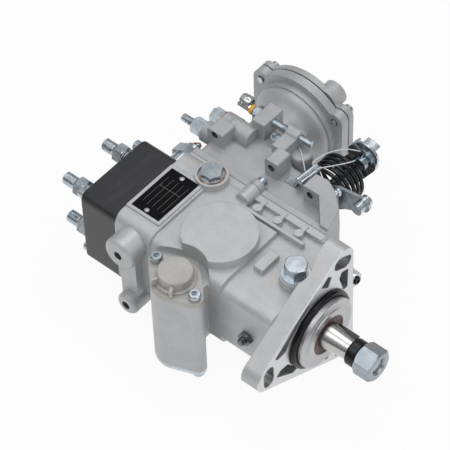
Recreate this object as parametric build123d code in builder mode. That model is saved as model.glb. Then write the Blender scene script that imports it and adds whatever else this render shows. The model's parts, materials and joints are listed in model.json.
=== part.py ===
"""Distributor injection pump of a diesel engine, as an assembly of separate pieces.

Frame, in millimetres: the drive shaft lies on the X axis and its nut points to +X,
the front face of the mounting flange is at x = 0, the governor cover and the boost
compensator rise towards +Y, and the side with the bare nameplate faces +Z.
"""
import os
from math import cos, pi, radians, sin, tan

from build123d import *

os.makedirs("parts", exist_ok=True)

# Clearances between pieces
RUN_GAP = 0.05
SEAT_GAP = 0.1
FREE_GAP = 0.3

# Drive end: flange, pilot, seal and shaft
FLANGE_T = 18.0
FLANGE_EDGE = 46.5
FLANGE_CORNER_R = 13.0
FLANGE_TURN = 61.0
SLOT_CIRCLE_R = 65.5
SLOT_WIDTH = 13.0
SLOT_HALF_ANGLE = 4.6
POCKET_DEPTH = 9.0
PILOT_R = 34.0
PILOT_L = 11.0
PILOT_WALL_L = 8.0
PILOT_STEP = 1.2
PILOT_NOSE_R = 25.4
FACE_RELIEF = 0.6
O_RING_CORD_R = 2.5
O_RING_SINK = 0.8
SEAL_R = 19.5
SEAL_L = 7.5
SEAL_LIP = 1.2
SHAFT_R = 12.5
TAPER_L = 25.0
TAPER_END_R = 9.7
THREAD_R = 7.0
THREAD_L = 26.0
BUSH_T = 3.5
BUSH_L = 26.0
KEY_T = 5.0
KEY_R = 10.0
KEY_ANGLE = 32.0
KEY_TOP_R = 13.2
SLEEVE_R = 12.6
SLEEVE_L = 10.5
NUT_ACROSS = 27.0
NUT_L = 18.0

# Feed pump, gears and coupling on the shaft
FEED_BORE_R = 30.0
FEED_X = -28.0
FEED_L = 18.0
FEED_PLATE_T = 5.0
FEED_RING_BORE_R = 24.0
FEED_ECCENTRIC = 1.8
ROTOR_R = 20.0
VANE_T = 2.0
VANE_DEPTH = 5.5
VANE_REACH = 1.8
GEAR_MODULE = 2.0
DRIVE_TEETH = 24
GOVERNOR_TEETH = 16
GEAR_X = -76.0
GEAR_W = 13.0
BACKLASH_SHARE = 0.86
COUPLING_X = -90.0
COUPLING_R = 14.0
CLAW_L = 6.0
CLAW_W = 8.0

# Roller ring, cam disc, plunger and springs
CAVITY_R = 31.0
CAVITY_X = -54.0
ROLLER_RING_X = -108.0
ROLLER_RING_W = 14.0
ROLLER_RING_BORE_R = 16.0
ROLLER_R = 5.0
ROLLER_L = 9.0
ROLLER_CIRCLE_R = 23.0
CAM_DISC_R = 28.0
CAM_DISC_T = 8.0
CAM_LOBE_H = 2.2
CAM_LOBE_ANGLE = 40.0
PLUNGER_R = 6.0
PLUNGER_FOOT_R = 11.0
PLUNGER_FOOT_T = 4.0
BRIDGE_T = 4.0
PLUNGER_SPRING_R = 6.0
PLUNGER_SPRING_OFFSET = 21.0
PLUNGER_SPRING_WIRE_R = 1.2
PLUNGER_SPRING_TURNS = 5
CONTROL_SLEEVE_L = 10.0
CONTROL_SLEEVE_R = 11.0
CONTROL_SLEEVE_X = -163.0

# Governor
GOVERNOR_SHAFT_R = 5.0
CAGE_R = 24.0
CAGE_WALL = 3.0
CAGE_L = 22.0
WEIGHT_T = 7.0
SLIDER_R = 8.5
SLIDER_END_X = -159.4
LEVER_T = 6.0
LEVER_PIVOT_Y = 22.0
LEVER_PIN_R = 3.0
LEVER_BALL_R = 2.6
GOVERNOR_SPRING_Y = 68.0
GOVERNOR_SPRING_Z = 12.0
GOVERNOR_SPRING_R = 5.0

# Socket screws shared by the cover and the timing device
SCREW_R = 3.0
SCREW_HEAD_R = 5.4
SCREW_HEAD_H = 6.2

# Housing body
BODY_REAR_X = -190.0
BODY_STEP_X = -150.0
BODY_WAIST_X = -72.0
BODY_FLOOR_Y = -43.0
DECK_Y = 57.0
REAR_HALF_Z = 44.0
MIDDLE_HALF_Z = 41.0
FRONT_HALF_Z = 36.0
BODY_ROUND = 11.0
DISC_X = -105.0
DISC_Y = -3.0
DISC_R = 33.5
DISC_TOP = 50.0
DISC_CUT_R = 28.0
PLATE_X = -171.0
PLATE_Y = 2.0
PLATE_W = 31.0
PLATE_H = 53.0
PLATE_T = 1.0
PLATE_RIM = 3.2
PLATE_RIM_H = 1.6
PLUG_BOSS_X = -154.0
PLUG_BOSS_Y = 43.5
PLUG_BOSS_R = 15.0
PLUG_BOSS_TOP = REAR_HALF_Z + 4.0
PLUG_RECESS_R = 12.6
PLUG_RECESS = 3.0
PLUG_THREAD_R = 7.0
INLET_X = -28.6
INLET_Y = 5.0
INLET_BOSS_R = 14.0
INLET_BOSS_TOP = FRONT_HALF_Z + 9.0
INLET_SPOT_R = 14.5
INLET_THREAD_R = 5.0
INLET_DEPTH = 8.0

# Timing device across the pump, axis parallel to Z
TIMING_X = ROLLER_RING_X
TIMING_Y = -57.0
TIMING_BORE_R = 15.0
TIMING_WALL = 7.0
TIMING_TOP = 32.0
TIMING_BOTTOM = -57.0
TIMING_SCREW_DX = 26.0
TIMING_SCREW_DY = 5.5
TIMING_LUG_R = 7.5
TIMING_COVER_T = 4.5
TIMING_BOSS_R = 15.6
TIMING_BOSS_H = 11.5
TIMING_PLATE_T = 4.0
PISTON_L = 46.0
PIN_R = 3.0
PIN_BALL_R = 4.5

# Distributor head
HEAD_L = 40.0
HEAD_HALF = 43.0
HEAD_ROUND = 8.0
SPIGOT_L = 6.0
BARREL_R = 12.0
BARREL_NOSE = 12.0
OUTLET_OFFSET = 25.5
OUTLET_THREAD_R = 6.0
OUTLET_HEX = 17.0
OUTLET_L = 34.0
OUTLET_SHANK_R = 8.0
OUTLET_SHANK_L = 22.0
HEAD_BOLT_OFFSET = 35.5
HEAD_BOLT_R = 3.0
HEAD_BOLT_GRIP = 14.0
SOLENOID_X = -203.5
SOLENOID_Z = 15.0

# Governor cover and boost compensator
COVER_FRONT_X = -40.0
COVER_BREAK_X = -120.0
COVER_REAR_X = -189.0
COVER_HALF_Z = 35.0
COVER_FLANGE_T = 6.0
COVER_LOW_Y = 104.0
COVER_HIGH_Y = 119.0
COVER_WALL = 4.0
COVER_ROUND = 8.0
GASKET_T = 1.0
BOSS_LOW_Z = 30.0
BOSS_TOP = 55.0
REAR_BOSS_TOP = 51.0
BOSS_HOLE_L = 13.0
BOSS_ROUND = 2.5
ROUND_BOSS_L = 26.0
REAR_STUD_Y = 90.0
REAR_STUD_Z = 31.0
REAR_STUD_R = 4.0
REAR_STUD_TIP_X = -228.0
REAR_STUD_SEAT_X = -201.0
REAR_PLUG_Y = 111.0
REAR_PLUG_Z = 29.0
REAR_PLUG_SEAT_X = -196.0
REAR_BOSS_R = 10.0
REAR_PLUG_THREAD_R = 5.0
COPPER_T = 1.2
SIDE_SCREW_X = -142.0
SIDE_SCREW_Y = 115.0
BOOST_X = -158.0
BOOST_Z = 10.0
BOOST_FLANGE_Y = 165.0
BOOST_FLANGE_T = 9.0
BOOST_LID_T = 6.0
BOOST_R = 50.0
BOOST_EAR_X = 42.0
BOOST_EAR_Z = 27.0
BOOST_EAR_R = 9.0
BOOST_NECK_R = 27.0
BELL_RIM_R = 43.0
DIAPHRAGM_T = 1.2
BOOST_SCREW_R = 3.0
BOOST_PIN_R = 6.0
BOOST_PIN_END_Y = 92.0
BOOST_PLATE_R = 24.0
BOOST_PLATE_T = 3.5
BOOST_SPRING_R = 13.0
BOOST_SPRING_WIRE_R = 1.3
BOOST_SEAT_Y = 130.0
BOOST_CHAMBER_R = 34.0
BOOST_PORT_DX = 23.0
BOOST_PORT_DZ = 33.0
BOOST_PORT_R = 12.0

# Control lever and its return spring, axis parallel to Y
LEVER_X = -80.0
LEVER_Z = 20.0
LEVER_SHAFT_R = 5.0
TOP_LEVER_Y = 136.0
LOW_LEVER_Y = 107.0
LEVER_PLATE_T = 3.0
TOP_LEVER_HUB_R = 13.0
TOP_LEVER_END_R = 12.5
TOP_STUD = (-60.0, 50.7)
LOW_STUD = (-39.0, 34.0)
SPRING_R = 21.5
SPRING_WIRE_R = 1.9
SPRING_TURNS = 4.5

# Full-speed stop screw, axis parallel to X
STOP_Y = 124.0
STOP_Z = 47.5
STOP_R = 4.0
STOP_CAP_X = -188.0
STOP_LUG_X = -164.5
STOP_LUG_T = 14.0
STOP_EAR_X = -133.5
STOP_EAR_T = 13.0
STOP_END_X = -109.0


def across_x(x):
    """Plane square to X whose sketch axes are Y and Z."""
    return Plane(origin=(x, 0, 0), x_dir=(0, 1, 0), z_dir=(1, 0, 0))


def across_y(y):
    """Plane square to Y, facing -Y, whose sketch axes are X and Z."""
    return Plane(origin=(0, y, 0), x_dir=(1, 0, 0), z_dir=(0, -1, 0))


def spindle(origin, direction):
    """Plane whose sketch x axis runs along a turned piece's axis."""
    across = (0, 0, 1) if direction[2] == 0 else (1, 0, 0)
    return Plane(origin=origin, x_dir=direction, z_dir=across)


def turned(plane, stations, mode=Mode.ADD):
    """Revolve (distance, radius) stations about the plane's x axis."""
    first = (stations[0][0], 0)
    last = (stations[-1][0], 0)
    with BuildSketch(plane) as half_section:
        with BuildLine():
            Polyline(first, *stations, last, close=True)
        make_face()
    revolve(half_section.sketch, axis=Axis(plane.origin, plane.x_dir), mode=mode)


def rod(origin, direction, radius, length, mode=Mode.ADD):
    """Round bar from a point along a direction."""
    turned(spindle(origin, direction), [(0, radius), (length, radius)], mode)


def soft_rod(origin, direction, radius, length, edge):
    """Round bar whose first end has a rounded edge."""
    plane = spindle(origin, direction)
    with BuildSketch(plane) as half_section:
        with BuildLine():
            FilletPolyline((0, 0), (0, radius), (length, radius), radius=edge)
            Polyline((length, radius), (length, 0), (0, 0))
        make_face()
    revolve(half_section.sketch, axis=Axis(plane.origin, plane.x_dir))


def boss_block(low, high, edge):
    """Block along Y whose corners are rounded."""
    with BuildSketch(across_y(low[1])) as outline:
        with Locations(((low[0] + high[0]) / 2, (low[2] + high[2]) / 2)):
            RectangleRounded(high[0] - low[0], high[2] - low[2], edge)
    extrude(outline.sketch, amount=low[1] - high[1])


def hex_bar(origin, direction, across_flats, length, mode=Mode.ADD):
    """Hexagonal bar from a point along a direction."""
    with BuildSketch(Plane(origin=origin, z_dir=direction)) as hexagon:
        RegularPolygon(across_flats / 2, 6, major_radius=False)
    extrude(hexagon.sketch, amount=length, mode=mode)


def block(low, high, mode=Mode.ADD):
    """Rectangular block between two corners."""
    size = [b - a for a, b in zip(low, high)]
    middle = [(a + b) / 2 for a, b in zip(low, high)]
    with Locations(tuple(middle)):
        Box(*size, mode=mode)


def coil(origin, direction, radius, wire_r, turns, length):
    """Round-wire helical spring from a point along a direction."""
    with BuildLine() as route:
        Helix(pitch=length / turns, height=length, radius=radius, center=origin, direction=direction)
    path = route.line
    with BuildSketch(Plane(origin=path @ 0, z_dir=path % 0)) as wire:
        Circle(wire_r)
    sweep(wire.sketch, path=path)


def socket_screw(origin, direction, thread_r, grip, head_r, head_h):
    """Socket-head screw whose head stands on the origin and points along the direction."""
    stations = [(-grip, thread_r), (0, thread_r), (0, head_r), (head_h * 0.85, head_r)]
    turned(spindle(origin, direction), stations + [(head_h, head_r * 0.85)])
    top = tuple(o + head_h * d for o, d in zip(origin, direction))
    inward = tuple(-d for d in direction)
    hex_bar(top, inward, head_r, head_h * 0.6, Mode.SUBTRACT)


def gear_points(teeth, module, turn):
    """Tooth outline with straight flanks, four points a tooth."""
    pitch_r = module * teeth / 2
    width = pi * module / 2 * BACKLASH_SHARE
    levels = [(-1.25 * module, 1), (0.85 * module, 1), (0.85 * module, -1), (-1.25 * module, -1)]
    points = []
    for tooth in range(teeth):
        for height, side in reversed(levels):
            half = (width / 2 - height * tan(radians(20))) / (pitch_r + height)
            angle = radians(turn) + 2 * pi * tooth / teeth + side * half
            points.append(((pitch_r + height) * cos(angle), (pitch_r + height) * sin(angle)))
    return points


def timing_outline(plane, grow=0.0):
    """Lozenge round the timing bore and its two cover screws, as a sketch."""
    with BuildSketch(plane) as lozenge:
        with Locations((TIMING_X, TIMING_Y)):
            Circle(TIMING_BORE_R + TIMING_WALL + grow)
        with Locations(*TIMING_SCREWS):
            Circle(TIMING_LUG_R + grow)
        make_hull()
    return lozenge.sketch


def boost_outline(plane, grow=0.0):
    """Round compensator flange with four ears, as a sketch."""
    with BuildSketch(plane) as outline:
        with Locations((BOOST_X, BOOST_Z)):
            Circle(BOOST_R + grow)
            with GridLocations(2 * BOOST_EAR_X, 2 * BOOST_EAR_Z, 2, 2):
                Circle(BOOST_EAR_R + grow)
        with Locations((BOOST_X, BOOST_Z)):
            Rectangle(2 * (BOOST_EAR_X + BOOST_EAR_R + grow), 2 * BOOST_EAR_Z)
    return outline.sketch


PLUNGER_END_X = BODY_REAR_X - HEAD_L + 8
HEAD_REAR_X = BODY_REAR_X - HEAD_L
GEAR_CENTRES = GEAR_MODULE * (DRIVE_TEETH + GOVERNOR_TEETH) / 2
TIMING_SCREWS = [
    (TIMING_X - TIMING_SCREW_DX, TIMING_Y + TIMING_SCREW_DY),
    (TIMING_X + TIMING_SCREW_DX, TIMING_Y - TIMING_SCREW_DY),
]
CORNERS = [(1, 1), (1, -1), (-1, 1), (-1, -1)]
OUTLETS = [(a * OUTLET_OFFSET, b * OUTLET_OFFSET) for a, b in CORNERS]
HEAD_BOLTS = [(a * HEAD_BOLT_OFFSET, b * HEAD_BOLT_OFFSET) for a, b in CORNERS]
SPRING_START_Y = LOW_LEVER_Y + LEVER_PLATE_T + SPRING_WIRE_R + SEAT_GAP
SPRING_END_Y = TOP_LEVER_Y - SPRING_WIRE_R - FREE_GAP
BOOST_SCREWS = [(BOOST_X + a * BOOST_EAR_X, BOOST_Z + b * BOOST_EAR_Z) for a, b in CORNERS]
TAPER_START_X = PILOT_L
TAPER_END_X = TAPER_START_X + TAPER_L
ROLLER_RING_REAR_X = ROLLER_RING_X - ROLLER_RING_W / 2
CAM_FACE_X = ROLLER_RING_REAR_X - ROLLER_R - FREE_GAP
CAM_REAR_X = CAM_FACE_X - CAM_LOBE_H - CAM_DISC_T
BRIDGE_X = CAM_REAR_X - PLUNGER_FOOT_T - FREE_GAP
FEED_PLATE_X = FEED_X - FEED_L
SHAFT_END_X = TAPER_END_X + THREAD_L
SLEEVE_END_X = TAPER_END_X + SLEEVE_L
O_RING_BED_R = PILOT_R - O_RING_SINK
O_RING_BED_END_X = 2 * O_RING_CORD_R + 0.4 - FACE_RELIEF
O_RING_SEAT_R = O_RING_BED_R + 2 * O_RING_CORD_R + 0.4
COVER_FOOT_Y = DECK_Y + GASKET_T
COVER_SCREWS = [(-118.0, 1), (-60.0, -1), (-118.0, -1), (-176.0, -1)]
COVER_LUG_Z = COVER_HALF_Z + 6.0
COVER_LUG_R = 7.0
SLOT_ANGLES = [FLANGE_TURN + 120 * n for n in range(3)]
FLANGE_POCKETS = [
    [(27, 40), (30, 46), (39, 43), (38.5, 19), (33, 20.5)],
    [(12, 57), (17, 52), (12.5, 42), (3, 50)],
    [(-57, 15), (-54, 11), (-43, 11), (-38, 19), (-10, 41), (-14, 43.5)],
    [(-56, -11.5), (-50, -7), (-41, -8), (-27, -26), (-34, -27)],
    [(27, -40), (33, -20.5), (38.5, -19), (39, -43), (30, -46)],
    [(12, -55), (3, -49), (12.5, -42), (17, -51)],
]
LOWER_BOSSES = [(-170.0, 23.5, 16.0, -62.0), (-167.0, -43.5, 11.0, -60.5)]
LOWER_BOSS_ROUND = 4.0
LOWER_BOSS_HOLE_R = 4.2
BOSS_HOLE_R = 3.4
BOSS_HOLES = [(-182.0, 80.0), (-119.0, 81.5), (-73.5, 78.5)]
BOSS_HOLE_Z = 47.0
BELL_CURVE = [
    (BOOST_FLANGE_Y - 30, BOOST_NECK_R + 1),
    (BOOST_FLANGE_Y - 22, BOOST_NECK_R + 3),
    (BOOST_FLANGE_Y - 15, BOOST_NECK_R + 8),
    (BOOST_FLANGE_Y - 10, BOOST_NECK_R + 13),
    (BOOST_FLANGE_Y - 8, BOOST_NECK_R + 14),
]
TROUGH_X = -112.0
TROUGH_Y = 33.0
RAIL_END_X = -46.0
RAIL_TOP = MIDDLE_HALF_Z + 1.0
RAIL_RIBS = [-102.0, -80.0, -57.0]
COPPER_SEATS = [
    ((PLUG_BOSS_X, PLUG_BOSS_Y, PLUG_BOSS_TOP - PLUG_RECESS), (0, 0, 1), PLUG_THREAD_R),
    ((REAR_PLUG_SEAT_X, REAR_PLUG_Y, REAR_PLUG_Z), (-1, 0, 0), REAR_PLUG_THREAD_R),
]

# Housing with its flange, pilot, bosses and cavities
with BuildPart() as pump_housing:
    with BuildSketch(across_x(-FLANGE_T)):
        with PolarLocations(2 * (FLANGE_EDGE - FLANGE_CORNER_R), 3, start_angle=FLANGE_TURN):
            Circle(FLANGE_CORNER_R)
        make_hull()
    extrude(amount=FLANGE_T)
    sections = [
        (BODY_REAR_X, BODY_STEP_X, REAR_HALF_Z),
        (BODY_STEP_X, BODY_WAIST_X, MIDDLE_HALF_Z),
        (BODY_WAIST_X, -FLANGE_T, FRONT_HALF_Z),
    ]
    for rear, front, half_z in sections:
        with BuildSketch(across_x(rear)):
            with Locations(((BODY_FLOOR_Y + DECK_Y) / 2, 0)):
                RectangleRounded(DECK_Y - BODY_FLOOR_Y, 2 * half_z, BODY_ROUND)
        extrude(amount=front - rear)
    block((COVER_REAR_X, DECK_Y - 7, -COVER_HALF_Z - 5), (COVER_FRONT_X + 2, DECK_Y, COVER_HALF_Z + 5))
    for x, side in COVER_SCREWS:
        rod((x, DECK_Y - 16, side * COVER_LUG_Z), (0, 1, 0), COVER_LUG_R, 16)
    with BuildSketch(Plane.XY.offset(FRONT_HALF_Z - 6)):
        with Locations((DISC_X, DISC_Y)):
            Circle(DISC_R)
        with Locations((TIMING_X, TIMING_Y)):
            Circle(DISC_CUT_R, mode=Mode.SUBTRACT)
    extrude(amount=DISC_TOP - FRONT_HALF_Z + 6)
    block(
        (PLATE_X - PLATE_W / 2 - PLATE_RIM, PLATE_Y - PLATE_H / 2 - PLATE_RIM, REAR_HALF_Z - 3),
        (PLATE_X + PLATE_W / 2 + PLATE_RIM, PLATE_Y + PLATE_H / 2 + PLATE_RIM, REAR_HALF_Z + PLATE_RIM_H),
    )
    block(
        (PLATE_X - PLATE_W / 2 - SEAT_GAP, PLATE_Y - PLATE_H / 2 - SEAT_GAP, REAR_HALF_Z),
        (PLATE_X + PLATE_W / 2 + SEAT_GAP, PLATE_Y + PLATE_H / 2 + SEAT_GAP, REAR_HALF_Z + PLATE_RIM_H),
        Mode.SUBTRACT,
    )
    rod((PLUG_BOSS_X, PLUG_BOSS_Y, 20), (0, 0, 1), PLUG_BOSS_R, PLUG_BOSS_TOP - 20)
    rod(
        (PLUG_BOSS_X, PLUG_BOSS_Y, PLUG_BOSS_TOP - PLUG_RECESS),
        (0, 0, 1),
        PLUG_RECESS_R,
        PLUG_RECESS,
        Mode.SUBTRACT,
    )
    rod((PLUG_BOSS_X, PLUG_BOSS_Y, PLUG_BOSS_TOP - 15), (0, 0, 1), PLUG_THREAD_R, 15, Mode.SUBTRACT)
    block(
        (PLUG_BOSS_X - PLUG_BOSS_R, DECK_Y, 20),
        (PLUG_BOSS_X + PLUG_BOSS_R, PLUG_BOSS_Y + PLUG_BOSS_R, PLUG_BOSS_TOP),
        Mode.SUBTRACT,
    )
    rod((INLET_X, INLET_Y, 20), (0, 0, 1), INLET_BOSS_R, INLET_BOSS_TOP - 20)
    rod((INLET_X, INLET_Y, INLET_BOSS_TOP), (0, 0, 1), INLET_SPOT_R, FLANGE_EDGE, Mode.SUBTRACT)
    rod(
        (INLET_X, INLET_Y, INLET_BOSS_TOP - INLET_DEPTH - 1),
        (0, 0, 1),
        INLET_THREAD_R,
        INLET_DEPTH + 1,
        Mode.SUBTRACT,
    )
    block((-64, -8, FRONT_HALF_Z - 2), (-54, 14, FRONT_HALF_Z + 6))
    block((TROUGH_X, TROUGH_Y, FRONT_HALF_Z), (BODY_WAIST_X, DECK_Y - 7, MIDDLE_HALF_Z), Mode.SUBTRACT)
    block((TROUGH_X, TROUGH_Y + 2, FRONT_HALF_Z - 2), (RAIL_END_X, TROUGH_Y + 5, RAIL_TOP))
    for x in RAIL_RIBS:
        block((x - 2, TROUGH_Y + 2, FRONT_HALF_Z - 2), (x + 2, DECK_Y - 2, RAIL_TOP - 1))
        rod((x, TROUGH_Y + 10, FRONT_HALF_Z - 2), (0, 0, 1), 4.2, RAIL_TOP - FRONT_HALF_Z + 2.5)

    extrude(timing_outline(Plane.XY.offset(TIMING_BOTTOM)), amount=TIMING_TOP - TIMING_BOTTOM)
    block(
        (TIMING_X - TIMING_BORE_R - TIMING_WALL, TIMING_Y, -FRONT_HALF_Z),
        (TIMING_X + TIMING_BORE_R + TIMING_WALL, BODY_FLOOR_Y + BODY_ROUND, TIMING_TOP),
    )
    extrude(
        timing_outline(Plane.XY.offset(TIMING_TOP), DISC_CUT_R - TIMING_BORE_R - TIMING_WALL),
        amount=DISC_TOP - TIMING_TOP,
        mode=Mode.SUBTRACT,
    )
    block((-178, BODY_FLOOR_Y - 9, -REAR_HALF_Z), (-160, BODY_FLOOR_Y + 2, 20))
    for x, z, radius, face_y in LOWER_BOSSES:
        soft_rod((x, face_y, z), (0, 1, 0), radius, BODY_FLOOR_Y + 20 - face_y, LOWER_BOSS_ROUND)
    for x, z, radius, face_y in LOWER_BOSSES:
        rod((x, face_y, z), (0, 1, 0), LOWER_BOSS_HOLE_R, 16, Mode.SUBTRACT)

    rod((0, 0, 0), (-1, 0, 0), O_RING_SEAT_R, FACE_RELIEF, Mode.SUBTRACT)
    pilot_stations = [(-2, PILOT_R), (-FACE_RELIEF, PILOT_R), (-FACE_RELIEF, O_RING_BED_R)]
    pilot_stations += [(O_RING_BED_END_X, O_RING_BED_R), (O_RING_BED_END_X, PILOT_R)]
    pilot_stations += [(PILOT_WALL_L, PILOT_R), (PILOT_WALL_L + PILOT_STEP, PILOT_R - PILOT_STEP)]
    pilot_stations += [
        (PILOT_WALL_L + PILOT_STEP, PILOT_R - 4),
        (PILOT_L - PILOT_STEP, PILOT_R - 5),
        (PILOT_L - PILOT_STEP, PILOT_NOSE_R + PILOT_STEP),
        (PILOT_L, PILOT_NOSE_R),
    ]
    turned(spindle((0, 0, 0), (1, 0, 0)), pilot_stations)
    with BuildSketch(across_x(0)):
        for angle in SLOT_ANGLES:
            with BuildLine() as middle:
                CenterArc((0, 0), SLOT_CIRCLE_R, angle - SLOT_HALF_ANGLE, 2 * SLOT_HALF_ANGLE)
            SlotArc(middle.edges()[0], SLOT_WIDTH)
    extrude(amount=-FLANGE_T - 40, mode=Mode.SUBTRACT)
    for corners in FLANGE_POCKETS:
        with BuildSketch(across_x(0)) as pocket:
            with BuildLine():
                Polyline(*corners, close=True)
            make_face()
            fillet(pocket.vertices(), 1.2)
        extrude(pocket.sketch, amount=-POCKET_DEPTH, mode=Mode.SUBTRACT)

    rod((PILOT_L - SEAL_L - 1, 0, 0), (1, 0, 0), SEAL_R, SEAL_L + 1, Mode.SUBTRACT)
    rod((FEED_X, 0, 0), (1, 0, 0), SHAFT_R + BUSH_T, PILOT_L - FEED_X, Mode.SUBTRACT)
    rod((FEED_X, 0, 0), (-1, 0, 0), FEED_BORE_R, FEED_X - CAVITY_X, Mode.SUBTRACT)
    rod((CAVITY_X, 0, 0), (-1, 0, 0), CAVITY_R, CAVITY_X - BODY_REAR_X, Mode.SUBTRACT)
    block((-176, 18, -25), (-60, DECK_Y, 25), Mode.SUBTRACT)
    rod(
        (TIMING_X, TIMING_Y, TIMING_BOTTOM),
        (0, 0, 1),
        TIMING_BORE_R,
        TIMING_TOP - TIMING_BOTTOM,
        Mode.SUBTRACT,
    )
    block((TIMING_X - 5.5, TIMING_Y + 10, -12), (TIMING_X + 5.5, -CAVITY_R + 4, 12), Mode.SUBTRACT)
    rod((-60, GEAR_CENTRES, 0), (1, 0, 0), GOVERNOR_SHAFT_R, 12, Mode.SUBTRACT)
    rod((CONTROL_SLEEVE_X, LEVER_PIVOT_Y, -32), (0, 0, 1), LEVER_PIN_R + RUN_GAP, 64, Mode.SUBTRACT)
    for y, z in HEAD_BOLTS:
        rod((BODY_REAR_X, y, z), (1, 0, 0), HEAD_BOLT_R, HEAD_BOLT_GRIP, Mode.SUBTRACT)
    for x, y in TIMING_SCREWS:
        rod((x, y, TIMING_TOP - 14), (0, 0, 1), SCREW_R, 14, Mode.SUBTRACT)
        rod((x, y, TIMING_BOTTOM), (0, 0, 1), SCREW_R, 14, Mode.SUBTRACT)
    for x, side in COVER_SCREWS:
        rod((x, DECK_Y - 13, side * COVER_LUG_Z), (0, 1, 0), SCREW_R, 13, Mode.SUBTRACT)
pump_housing.part.label = "pump_housing"
export_step(pump_housing.part, "parts/pump_housing.step")

# Rubber ring round the pilot
with BuildPart() as pilot_o_ring:
    with Locations(Plane(origin=(O_RING_CORD_R + SEAT_GAP - FACE_RELIEF, 0, 0), z_dir=(1, 0, 0))):
        Torus(O_RING_BED_R + O_RING_CORD_R + 0.02, O_RING_CORD_R)
pilot_o_ring.part.label = "pilot_o_ring"
export_step(pilot_o_ring.part, "parts/pilot_o_ring.step")

# Shaft seal: outer case, web and lip
with BuildPart() as shaft_seal:
    with BuildSketch(Plane.XY):
        with BuildLine():
            Polyline(
                (PILOT_L - SEAL_L, SHAFT_R + RUN_GAP),
                (PILOT_L - SEAL_L, SEAL_R),
                (PILOT_L - 0.5, SEAL_R),
                (PILOT_L - 0.5, SEAL_R - SEAL_LIP),
                (PILOT_L - 2.5, SHAFT_R + 2),
                (PILOT_L - 1.5, SHAFT_R + RUN_GAP),
                close=True,
            )
        make_face()
    revolve(axis=Axis.X)
shaft_seal.part.label = "shaft_seal"
export_step(shaft_seal.part, "parts/shaft_seal.step")

# Plain bearing bush of the drive shaft
with BuildPart() as shaft_bush:
    with BuildSketch(across_x(FEED_X + 0.5)):
        Circle(SHAFT_R + BUSH_T)
        Circle(SHAFT_R + RUN_GAP, mode=Mode.SUBTRACT)
    extrude(amount=BUSH_L)
shaft_bush.part.label = "shaft_bush"
export_step(shaft_bush.part, "parts/shaft_bush.step")

# Half-disc key in the shaft's taper
KEY_X = TAPER_START_X + TAPER_L / 2 + 1
KEY_CENTRE_R = KEY_TOP_R - 1.0
key_plane = Plane(
    origin=(KEY_X, 0, 0),
    x_dir=(1, 0, 0),
    z_dir=(0, -sin(radians(KEY_ANGLE)), cos(radians(KEY_ANGLE))),
)
with BuildPart() as woodruff_key:
    with BuildSketch(key_plane.offset(-KEY_T / 2)):
        with Locations((0, KEY_CENTRE_R)):
            Circle(KEY_R)
        with Locations((0, KEY_TOP_R + KEY_R)):
            Rectangle(3 * KEY_R, 2 * KEY_R, mode=Mode.SUBTRACT)
    extrude(amount=KEY_T)
woodruff_key.part.label = "woodruff_key"
export_step(woodruff_key.part, "parts/woodruff_key.step")

# Drive shaft: coupling end, journal, taper and thread
with BuildPart() as drive_shaft:
    shaft_stations = [
        (COUPLING_X + 0.15, COUPLING_R),
        (COUPLING_X + 10, COUPLING_R),
        (COUPLING_X + 10, SHAFT_R),
    ]
    shaft_stations += [(TAPER_START_X, SHAFT_R), (TAPER_END_X, TAPER_END_R), (TAPER_END_X, THREAD_R)]
    shaft_stations += [(SHAFT_END_X - 1, THREAD_R), (SHAFT_END_X, THREAD_R - 1)]
    turned(spindle((0, 0, 0), (1, 0, 0)), shaft_stations)
    block(
        (COUPLING_X, -CLAW_W / 2 - SEAT_GAP, -COUPLING_R),
        (COUPLING_X + CLAW_L + SEAT_GAP, CLAW_W / 2 + SEAT_GAP, COUPLING_R),
        Mode.SUBTRACT,
    )
    add(woodruff_key.part, mode=Mode.SUBTRACT)
drive_shaft.part.label = "drive_shaft"
export_step(drive_shaft.part, "parts/drive_shaft.step")

# Black sleeve between the taper and the nut
with BuildPart() as thread_sleeve:
    with BuildSketch(across_x(TAPER_END_X + SEAT_GAP)):
        Circle(SLEEVE_R)
        Circle(THREAD_R + RUN_GAP, mode=Mode.SUBTRACT)
    extrude(amount=SLEEVE_L - SEAT_GAP)
    fillet(thread_sleeve.edges().filter_by(GeomType.CIRCLE).group_by(SortBy.RADIUS)[-1], 2.2)
thread_sleeve.part.label = "thread_sleeve"
export_step(thread_sleeve.part, "parts/thread_sleeve.step")

# Hexagon nut on the shaft end, with both faces turned
with BuildPart() as shaft_nut:
    hex_bar((SLEEVE_END_X, 0, 0), (1, 0, 0), NUT_ACROSS, NUT_L)
    with BuildSketch(Plane.XY):
        with BuildLine():
            Polyline(
                (SLEEVE_END_X, THREAD_R + RUN_GAP),
                (SLEEVE_END_X, NUT_ACROSS * 0.49),
                (SLEEVE_END_X + 2.2, NUT_ACROSS * 0.6),
                (SLEEVE_END_X + NUT_L - 2.2, NUT_ACROSS * 0.6),
                (SLEEVE_END_X + NUT_L, NUT_ACROSS * 0.49),
                (SLEEVE_END_X + NUT_L, THREAD_R + 1.5),
                (SLEEVE_END_X + NUT_L - 2, THREAD_R + RUN_GAP),
                close=True,
            )
        make_face()
    revolve(axis=Axis.X, mode=Mode.INTERSECT)
shaft_nut.part.label = "shaft_nut"
export_step(shaft_nut.part, "parts/shaft_nut.step")

# Feed pump: eccentric ring, rotor, vanes and support plate
with BuildPart() as feed_ring:
    with BuildSketch(across_x(FEED_PLATE_X + SEAT_GAP)):
        Circle(FEED_BORE_R - SEAT_GAP)
        with Locations((0, -FEED_ECCENTRIC)):
            Circle(FEED_RING_BORE_R, mode=Mode.SUBTRACT)
    extrude(amount=FEED_L - SEAT_GAP)
feed_ring.part.label = "feed_ring"
export_step(feed_ring.part, "parts/feed_ring.step")

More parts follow.
